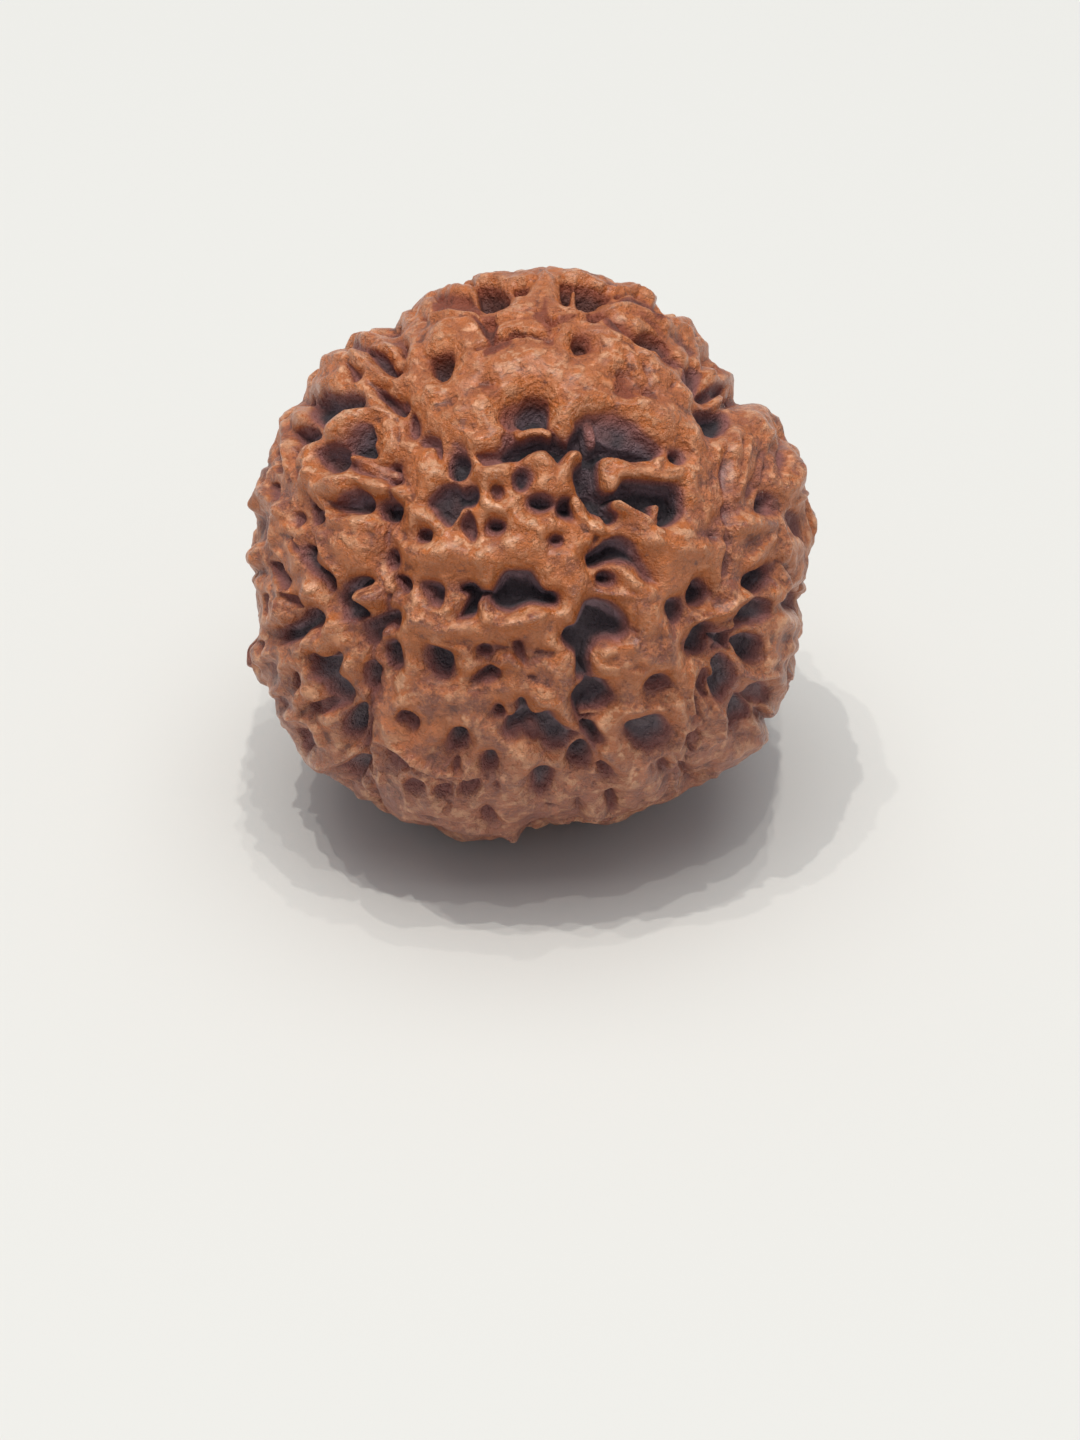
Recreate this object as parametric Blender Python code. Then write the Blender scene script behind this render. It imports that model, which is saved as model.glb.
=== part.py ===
"""A rudraksha seed: one woody stone, nearly round, with grooves from pole to pole and a deeply pitted skin.

Metres, +Z up. The seed stands on a small flat spot at its lower pole, and the origin is the centre of that spot.
Longitude 0 faces -Y and grows towards +X. Latitude 90 is the crown, where the stalk was.
"""

import math
import random

import bmesh
import bpy
import numpy as np
from mathutils import Vector, noise

MM = 0.001

# Driving dimensions
WIDTH = 24.0 * MM  # across the lobes, at the widest
HEIGHT = 23.5 * MM  # flat spot to crown
FLAT_SPOT = 6.4 * MM  # across the spot that it rests on

# Lobes and grooves
GROOVE_DEPTH = 0.80 * MM
GROOVE_HALF_WIDTH = 0.45 * MM
FLUTE_DEPTH = 0.35 * MM  # how far a lobe's sides fall away towards its grooves
FLUTE_REACH = 2.4 * MM
POLE_FADE = (62.0, 84.0)  # degrees of latitude over which the grooves close up at the crown

# Rounded swellings over the whole skin
KNOB_HEIGHT = 0.30 * MM
KNOB_SPACING = 1.7 * MM

# Mesh
SPHERE_SUBDIVISIONS = 7
KEPT_SHARE = 0.125  # of the fine sphere's triangles

# Each groove's longitude at these latitudes, from the crown down
GROOVE_LATITUDES = (90, 52, 38, 20, 0, -20, -90)
GROOVES = {
    "front_left": (-52, -50, -40, -36, -34, -35, -38),
    "front": (14, 15, 17, 14, 10, 9, 8),
    "front_right": (66, 64, 60, 52, 41, 37, 34),
    "right": (101, 99, 94, 86, 78, 74, 72),
    "back_right": (134, 132, 129, 124, 118, 115, 114),
    "back": (168, 167, 166, 163, 160, 158, 157),
    "back_left": (-149, -150, -152, -155, -157, -158, -158),
    "left_back": (-122, -120, -118, -116, -114, -113, -113),
    "left": (-94, -91, -85, -78, -74, -73, -73),
}

# The larger pits of the side that was photographed: longitude, latitude, width, height and depth in millimetres
PHOTO_PITS = (
    (-47, 66, 1.3, 1.1, 0.9),
    (35, 74, 0.9, 0.8, 0.7),
    (-140, 76, 1.5, 1.2, 1.0),
    (150, 74, 1.6, 1.3, 1.0),
    (2, 61, 1.5, 1.1, 1.2),
    (5, 54, 2.2, 1.0, 1.5),
    (24, 53, 3.0, 1.6, 1.5),
    (28, 43, 2.6, 1.5, 1.5),
    (-21, 48, 1.4, 1.3, 1.3),
    (-16, 43, 1.3, 1.1, 1.2),
    (-58, 45, 2.0, 1.4, 1.3),
    (-37, 38, 1.4, 1.1, 1.1),
    (-25, 35, 1.1, 0.9, 0.8),
    (17, 33, 2.0, 1.2, 1.3),
    (-9, 38, 0.9, 0.9, 0.9),
    (-4, 26, 2.5, 1.5, 1.6),
    (-13, 25, 1.0, 1.4, 1.2),
    (-21, 25, 1.2, 1.1, 0.9),
    (17, 28, 1.0, 0.8, 0.9),
    (13, 20, 2.4, 1.6, 1.3),
    (36, 21, 1.4, 1.4, 1.1),
    (30, 18, 1.3, 1.5, 1.0),
    (35, 11, 1.4, 1.2, 0.9),
    (46, 7, 1.6, 1.5, 1.1),
    (51, 17, 1.5, 1.2, 1.1),
    (62, 29, 1.6, 1.3, 1.1),
    (65, 47, 1.8, 1.4, 1.2),
    (-18, 12, 1.6, 1.3, 0.9),
    (-8, 10, 1.3, 1.0, 1.0),
    (13, 5, 1.9, 1.9, 1.3),
    (25, 6, 1.1, 0.9, 0.8),
    (-24, -2, 1.5, 1.2, 0.9),
    (-14, -6, 1.2, 1.5, 1.0),
    (5, -3, 2.2, 1.2, 1.1),
    (22, -5, 1.9, 1.2, 1.0),
    (10, -9, 1.2, 1.6, 1.1),
    (-8, -11, 1.2, 1.2, 0.9),
    (16, -14, 1.0, 1.4, 0.8),
    (46, -6, 1.7, 1.8, 1.1),
    (-46, 11, 1.7, 1.2, 1.0),
    (-40, 20, 1.3, 1.5, 1.0),
    (-39, -6, 1.4, 1.8, 1.1),
    (-45, 3, 2.0, 1.4, 1.0),
    (-27, -14, 1.6, 1.4, 0.8),
    (2, -15, 1.2, 1.5, 0.8),
    (28, -15, 1.2, 1.4, 0.8),
)

# Pits of the side that the photograph doesn't show, spread evenly with a seeded scatter
HIDDEN_PITS = 110
HIDDEN_SEED = 9
HIDDEN_LONGITUDE = 74.0  # degrees from the front, where the hand-placed pits end
HIDDEN_LATITUDES = (-58.0, 72.0)
HIDDEN_DEPTH_SHARE = 0.75  # of a pit's width
PIT_RIM = 1.45  # where a pit's wall meets the skin, in half widths
GOLDEN_ANGLE = 180.0 * (3.0 - math.sqrt(5.0))


def smooth_step(low, high, value):
    share = np.clip((value - low) / (high - low), 0.0, 1.0)
    return share * share * (3.0 - 2.0 * share)


def direction(longitude, latitude):
    """The unit vector at a longitude and latitude in degrees."""
    around, up = math.radians(longitude), math.radians(latitude)
    return np.array((math.sin(around) * math.cos(up), -math.cos(around) * math.cos(up), math.sin(up)))


def groove_distance(longitude, latitude):
    """Arc from each point to its nearest groove, in metres."""
    nearest = np.full(len(longitude), 1.0)
    for stations in GROOVES.values():
        middle = np.interp(latitude, GROOVE_LATITUDES[::-1], stations[::-1])
        away = np.abs((longitude - middle + 180.0) % 360.0 - 180.0)
        arc = np.radians(away) * np.cos(np.radians(latitude)) * WIDTH / 2
        nearest = np.minimum(nearest, arc)
    return nearest


def hidden_pits():
    """Pits on a golden spiral, each moved and sized by a seeded scatter."""
    scatter = random.Random(HIDDEN_SEED)
    pits = ()
    for index in range(2 * HIDDEN_PITS):
        height = 1.0 - (2.0 * index + 1.0) / (2 * HIDDEN_PITS)
        latitude = math.degrees(math.asin(height)) + scatter.uniform(-2.5, 2.5)
        longitude = (index * GOLDEN_ANGLE + scatter.uniform(-3.0, 3.0) + 180.0) % 360.0 - 180.0
        width = scatter.uniform(1.1, 2.1)
        tall = width * scatter.uniform(0.7, 1.3)
        in_view = abs(longitude) < HIDDEN_LONGITUDE and latitude > -25.0
        if HIDDEN_LATITUDES[0] < latitude < HIDDEN_LATITUDES[1] and not in_view:
            pits += ((longitude, latitude, width, tall, HIDDEN_DEPTH_SHARE * width),)
    return pits


def pit_depth(directions, pits):
    """How far the pits sink each point, in metres. Pits that meet take the deeper one."""
    deepest = np.zeros(len(directions))
    for longitude, latitude, width, tall, depth in pits:
        centre = direction(longitude, latitude)
        east = direction(longitude + 90.0, 0.0)
        north = np.cross(centre, east)
        across = directions @ east * WIDTH / (width * MM)
        along = directions @ north * WIDTH / (tall * MM)
        share = np.sqrt(across**2 + along**2)
        sunk = depth * MM * (1.0 - smooth_step(0.2, PIT_RIM, share))
        sunk[directions @ centre < 0.0] = 0.0
        deepest = np.maximum(deepest, sunk)
    return deepest


def knob_height(directions):
    """Rounded swellings about KNOB_SPACING apart, in metres either way."""
    scale = WIDTH / 2 / KNOB_SPACING
    return np.array([KNOB_HEIGHT * noise.noise(Vector(d) * scale) for d in directions])


def seed_points(directions):
    """The sphere's unit directions moved out to the seed's skin, in metres from its centre."""
    latitude = np.degrees(np.arcsin(np.clip(directions[:, 2], -1.0, 1.0)))
    longitude = np.degrees(np.arctan2(directions[:, 0], -directions[:, 1]))
    from_groove = groove_distance(longitude, latitude)
    closes = 1.0 - smooth_step(*POLE_FADE, latitude)
    flute = FLUTE_DEPTH * (1.0 - smooth_step(0.0, FLUTE_REACH, from_groove))
    groove = GROOVE_DEPTH * np.exp(-((from_groove / GROOVE_HALF_WIDTH) ** 2))
    sunk = closes * (flute + groove) - knob_height(directions)
    sunk += pit_depth(directions, PHOTO_PITS + hidden_pits())
    foot = 1.0 - smooth_step(-78.0, -66.0, latitude)  # smooth round the flat spot
    radius = WIDTH / 2 - sunk * (1.0 - foot)
    return directions * radius[:, None]


def woody_brown():
    material = bpy.data.materials.new("woody_brown")
    material.use_nodes = True
    shader = material.node_tree.nodes["Principled BSDF"]
    shader.inputs["Base Color"].default_value = (0.43, 0.17, 0.07, 1.0)
    shader.inputs["Roughness"].default_value = 0.5
    shader.inputs["Metallic"].default_value = 0.0
    return material


def flat_spot_cutter():
    """A slab whose top face is the plane that the seed rests on."""
    block = bmesh.new()
    bmesh.ops.create_cube(block, size=1.0)
    bmesh.ops.scale(block, vec=(2 * WIDTH, 2 * WIDTH, HEIGHT), verts=block.verts)
    bmesh.ops.translate(block, vec=(0.0, 0.0, -HEIGHT / 2), verts=block.verts)
    mesh = bpy.data.meshes.new("flat_spot_cutter")
    block.to_mesh(mesh)
    block.free()
    cutter = bpy.data.objects.new("flat_spot_cutter", mesh)
    bpy.context.scene.collection.objects.link(cutter)
    cutter.hide_render = True
    cutter.display_type = "WIRE"
    return cutter


def rudraksha_seed():
    """The seed's displaced sphere, sized and set on its flat spot."""
    ball = bmesh.new()
    bmesh.ops.create_icosphere(ball, subdivisions=SPHERE_SUBDIVISIONS, radius=1.0)
    mesh = bpy.data.meshes.new("rudraksha_seed")
    ball.to_mesh(mesh)
    ball.free()
    directions = np.empty(len(mesh.vertices) * 3)
    mesh.vertices.foreach_get("co", directions)
    directions = directions.reshape(-1, 3)
    directions /= np.linalg.norm(directions, axis=1)[:, None]
    points = seed_points(directions)
    low, high = points.min(axis=0), points.max(axis=0)
    points[:, :2] -= (low[:2] + high[:2]) / 2
    points[:, :2] *= WIDTH / (high[:2] - low[:2])
    lost_below = WIDTH / 2 - math.sqrt((WIDTH / 2) ** 2 - (FLAT_SPOT / 2) ** 2)
    points[:, 2] -= low[2] + lost_below
    points[:, 2] *= HEIGHT / points[:, 2].max()
    mesh.vertices.foreach_set("co", points.ravel())
    mesh.shade_smooth()
    mesh.materials.append(woody_brown())
    seed = bpy.data.objects.new("rudraksha_seed", mesh)
    bpy.context.scene.collection.objects.link(seed)
    thin = seed.modifiers.new("fewer_triangles", "DECIMATE")
    thin.ratio = KEPT_SHARE
    foot = seed.modifiers.new("flat_spot", "BOOLEAN")
    foot.operation = "DIFFERENCE"
    foot.object = flat_spot_cutter()
    return seed


for old in list(bpy.data.objects):
    bpy.data.objects.remove(old)

rudraksha_seed()
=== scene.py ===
import math
import random

import bmesh
import bpy
import numpy as np
from mathutils import Matrix, Vector, noise


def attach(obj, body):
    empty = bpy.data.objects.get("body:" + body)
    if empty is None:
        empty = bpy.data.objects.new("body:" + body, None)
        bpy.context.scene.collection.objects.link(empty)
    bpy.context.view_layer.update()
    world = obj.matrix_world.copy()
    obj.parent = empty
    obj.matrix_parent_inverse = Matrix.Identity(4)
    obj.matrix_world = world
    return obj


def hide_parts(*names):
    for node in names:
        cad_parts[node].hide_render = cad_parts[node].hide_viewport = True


mm = 0.001

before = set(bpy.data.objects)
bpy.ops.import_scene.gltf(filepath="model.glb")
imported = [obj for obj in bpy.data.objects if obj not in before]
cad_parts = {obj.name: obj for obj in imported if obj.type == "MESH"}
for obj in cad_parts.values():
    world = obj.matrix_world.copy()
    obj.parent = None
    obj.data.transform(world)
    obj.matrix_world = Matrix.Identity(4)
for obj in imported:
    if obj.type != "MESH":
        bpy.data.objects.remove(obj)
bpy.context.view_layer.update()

photo = {
    "wide": 1080,
    "tall": 1440,
    "seedMiddle": (531, 556),  # the pixel of the seed's middle
    "pixelsPerMm": 23.67,  # at the seed's middle
    "distance": 131.4 * mm,  # from the lens to the seed's middle
    "elevation": 33.5,  # degrees, of the lens above the seed's middle
    "sensor": 24.0,  # mm, how tall the camera's sensor is
}

# Pixels are those of the photograph. Lumps are their spacing, their height either way and the noise's shift
seed = {
    "radius": 11.85 * mm,  # of the worn tops, before the swellings
    "middle": (0.0, 0.0, 11.5 * mm),
    "fineness": 9,  # icosphere subdivisions
    "triangles": 196000,
    "halfWidth": 12.0 * mm,  # the skin is eased to stay within these
    "height": 23.48 * mm,
    "ease": 0.25 * mm,
    "grounded": 0.03 * mm,  # skin lower than this is laid on the ground
    "limb": (0.02, 0.16),  # cosines from the camera's direction over which the photograph's features fade out
    "broadLumps": (3.1 * mm, 0.16 * mm, (3.1, 0.4, 7.7)),
    "middleLumps": (0.95 * mm, 0.20 * mm, (9.0, 2.0, 5.0)),
    "fineLumps": (0.42 * mm, 0.07 * mm, (1.0, 8.0, 2.0)),
    "lineReach": 3,  # half widths beside a furrow or a fall, past which it has faded out
}


def smooth(low, high, value):
    share = np.clip((value - low) / (high - low), 0.0, 1.0)
    return share * share * (3.0 - 2.0 * share)


def bell(apart, half):
    return np.exp(-((apart / half) ** 2))


def cameraFrame():
    # the camera's place and its right, up and back axes: level, aimed below the seed as in the photograph
    rise = math.radians(photo["elevation"])
    focal = photo["pixelsPerMm"] * photo["distance"] / mm
    across = (photo["seedMiddle"][0] - photo["wide"] / 2) / focal
    above = (photo["tall"] / 2 - photo["seedMiddle"][1]) / focal
    length = math.sqrt(across**2 + above**2 + 1.0)
    across, above = across / length, above / length
    yaw = math.asin(across / math.cos(rise))
    level, steep = math.cos(yaw) * math.cos(rise), math.sin(rise)
    pitch = math.asin(above / math.hypot(level, steep)) + math.atan2(steep, level)
    right = Vector((math.cos(yaw), math.sin(yaw), 0.0))
    back = Vector((math.sin(yaw) * math.cos(pitch), -math.cos(yaw) * math.cos(pitch), math.sin(pitch)))
    toLens = Vector((0.0, -math.cos(rise), math.sin(rise)))
    place = Vector(seed["middle"]) + toLens * photo["distance"]
    return place, right, back.cross(right), back, focal, toLens


lensPlace, lensRight, lensUp, lensBack, lensFocal, toLens = cameraFrame()


def pixelsOf(points):
    # where points of the world land in the photograph
    away = points - np.array(lensPlace)
    deep = -(away @ np.array(lensBack))
    u = photo["wide"] / 2 + lensFocal * (away @ np.array(lensRight)) / deep
    v = photo["tall"] / 2 - lensFocal * (away @ np.array(lensUp)) / deep
    return u, v


def onSeed(x, y):
    # the direction, from the seed's middle, of the skin under a pixel; past the outline, the nearest on it
    across, above = (x - photo["wide"] / 2) / lensFocal, (photo["tall"] / 2 - y) / lensFocal
    ray = (lensRight * across + lensUp * above - lensBack).normalized()
    toMiddle = Vector(seed["middle"]) - lensPlace
    along = toMiddle.dot(ray)
    short = seed["radius"] ** 2 - (toMiddle.length_squared - along**2)
    hit = lensPlace + ray * (along - math.sqrt(max(short, 0.0)))
    return (hit - Vector(seed["middle"])).normalized()


def turned(x, y, degrees):
    # x and y turned by so many degrees
    angle = math.radians(degrees)
    return x * math.cos(angle) - y * math.sin(angle), x * math.sin(angle) + y * math.cos(angle)


def tangentAxes(direction, turn=0.0):
    # two unit vectors in the skin's plane, the first level with the camera's right when turn is 0
    first = (lensRight - direction * lensRight.dot(direction)).normalized()
    second = direction.cross(first)
    if second.dot(lensUp) < 0.0:
        second = -second
    cosine, sine = math.cos(math.radians(turn)), math.sin(math.radians(turn))
    return first * cosine + second * sine, second * cosine - first * sine


def rounded(outline, steps=4):
    # a closed curve through the outline's points
    count = len(outline)
    curve = []
    for index in range(count):
        before, start, end, after = (np.array(outline[(index + shift) % count], float)
                                     for shift in (-1, 0, 1, 2))
        for step in range(steps):
            t = step / steps
            curve.append(0.5 * (2 * start + (end - before) * t
                                + (2 * before - 5 * start + 4 * end - after) * t**2
                                + (3 * start - before - 3 * end + after) * t**3))
    return np.array(curve)


def alongLine(u, v, points):
    # each point's distance to the nearest piece of a polyline
    nearest = np.full(len(u), 1e9)
    for (x0, y0), (x1, y1) in zip(points[:-1], points[1:]):
        dx, dy = x1 - x0, y1 - y0
        t = np.clip(((u - x0) * dx + (v - y0) * dy) / (dx * dx + dy * dy + 1e-9), 0.0, 1.0)
        nearest = np.minimum(nearest, np.hypot(u - x0 - t * dx, v - y0 - t * dy))
    return nearest


def insideOutline(u, v, curve):
    # distance to a closed curve, positive inside it
    loop = np.vstack([curve, curve[:1]])
    nearest = alongLine(u, v, loop)
    crossings = np.zeros(len(u), int)
    for (x0, y0), (x1, y1) in zip(loop[:-1], loop[1:]):
        if y0 != y1:
            straddles = (y0 > v) != (y1 > v)
            crossings += straddles & (u < x0 + (v - y0) * (x1 - x0) / (y1 - y0))
    return np.where(crossings % 2 == 1, nearest, -nearest)


class Skin:
    # the directions of the seed's skin, with what the photograph's features and the made-up ones need to know

    def __init__(self, directions):
        self.directions = directions
        self.base = self.baseAt(directions)
        self.facing = directions @ np.array(toLens)
        self.seen = smooth(*seed["limb"], self.facing)
        self.growth = outlineGrowth(self)
        self.tops = self.landing(0.0)
        self.rims = self.landing(cavityShape["rimDrop"])

    def baseAt(self, direction):
        return np.array(seed["middle"]) + np.array(direction) * seed["radius"]

    def landing(self, below):
        # the pixels where the skin lands in the photograph, when it lies so much below its tops
        reach = seed["radius"] + self.growth - below
        return pixelsOf(np.array(seed["middle"]) + self.directions * reach[:, None])

    def near(self, points, reach, pixels):
        # the visible vertices within reach of some pixels, and where they land
        u, v = pixels
        low, high = np.min(points, axis=0) - reach, np.max(points, axis=0) + reach
        inside = (u > low[0]) & (u < high[0]) & (v > low[1]) & (v < high[1]) & (self.facing > seed["limb"][0])
        rows = np.nonzero(inside)[0]
        return rows, u[rows], v[rows]

    def beside(self, line, reach, pixels):
        # the visible vertices within reach of a line of pixels, and how far from it they land
        rows, u, v = self.near(line, reach, pixels)
        return rows, alongLine(u, v, line)

    def cap(self, direction, reach):
        # the vertices within reach, in metres, of a direction
        return np.nonzero(self.directions @ np.array(direction) > math.cos(reach / seed["radius"]))[0]

    def local(self, rows, direction, axes):
        # coordinates in the skin's plane, in pixels of the photograph's scale
        away = (self.base[rows] - self.baseAt(direction)) / mm * photo["pixelsPerMm"]
        return away @ np.array(axes[0]), away @ np.array(axes[1])


# The seed's outline in the photograph, clockwise from the left end of the crown
outlinePixels = [
    (394, 329), (402, 314), (412, 311), (432, 295), (450, 286), (465, 285), (485, 275), (497, 273),
    (510, 275), (518, 273), (540, 269), (575, 270), (600, 276), (611, 287), (640, 294), (655, 303),
    (665, 312), (690, 323), (707, 345), (708, 357), (720, 364), (731, 378), (732, 403), (745, 406),
    (765, 409), (780, 418), (785, 437), (800, 460), (805, 478), (803, 492), (812, 502), (816, 525),
    (813, 545), (810, 562), (809, 580), (801, 598), (803, 612), (803, 625), (800, 640), (797, 670),
    (796, 685), (785, 698), (775, 715), (760, 718), (764, 735), (757, 750), (735, 765), (712, 778),
    (690, 790), (650, 806), (605, 827), (570, 823), (530, 825), (515, 838), (455, 842), (420, 826),
    (380, 812), (350, 793), (310, 770), (290, 745), (278, 712), (270, 695), (255, 675), (248, 655),
    (258, 632), (255, 600), (258, 575), (245, 558), (258, 542), (258, 520), (249, 500), (262, 475),
    (268, 455), (278, 430), (283, 413), (303, 402), (310, 378), (322, 362), (345, 345), (358, 329),
]

# How the outline's bumps run into the skin in front of it and behind it, by the cosine from the outline
outlineShape = {
    "window": 30,  # degrees either way over which the broad lobes are averaged
    "lobe": 11.0,  # degrees, half width of that average
    "lobeFade": (0.1, 0.8),
    "dentFade": (0.12, 0.42),
    "bumpFade": (0.0, 0.24),
}


def outlineGrowth(skin):
    # how far the photograph's outline stands outside the round base: broad lobes, and bumps right at the edge
    middleX, middleY = photo["seedMiddle"]
    across = np.array([x - middleX for x, _ in outlinePixels], float)
    above = np.array([middleY - y for _, y in outlinePixels], float)
    angles = np.degrees(np.arctan2(above, across))
    slope = np.hypot(across, above) / lensFocal
    grown = slope / np.sqrt(1.0 + slope**2) * photo["distance"] - seed["radius"]
    order = np.argsort(angles)
    even = np.arange(-180.0, 180.0)
    detail = np.interp(even, angles[order], grown[order], period=360.0)
    window = outlineShape["window"]
    spread = bell(np.arange(-window, window + 1), outlineShape["lobe"])
    ring = np.concatenate((detail[-window:], detail, detail[:window]))
    broad = np.convolve(ring, spread / spread.sum(), mode="valid")
    around = np.degrees(np.arctan2(skin.directions @ np.array(lensUp), skin.directions @ np.array(lensRight)))
    fromLimb = np.abs(skin.facing - seed["radius"] / photo["distance"])
    broadHere = np.interp(around, even, broad, period=360.0)
    bumps = np.interp(around, even, detail, period=360.0) - broadHere
    dentFade, bumpFade, lobeFade = (1.0 - smooth(*outlineShape[name], fromLimb)
                                    for name in ("dentFade", "bumpFade", "lobeFade"))
    return broadHere * lobeFade + bumps * np.where(bumps < 0.0, dentFade, bumpFade)


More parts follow.
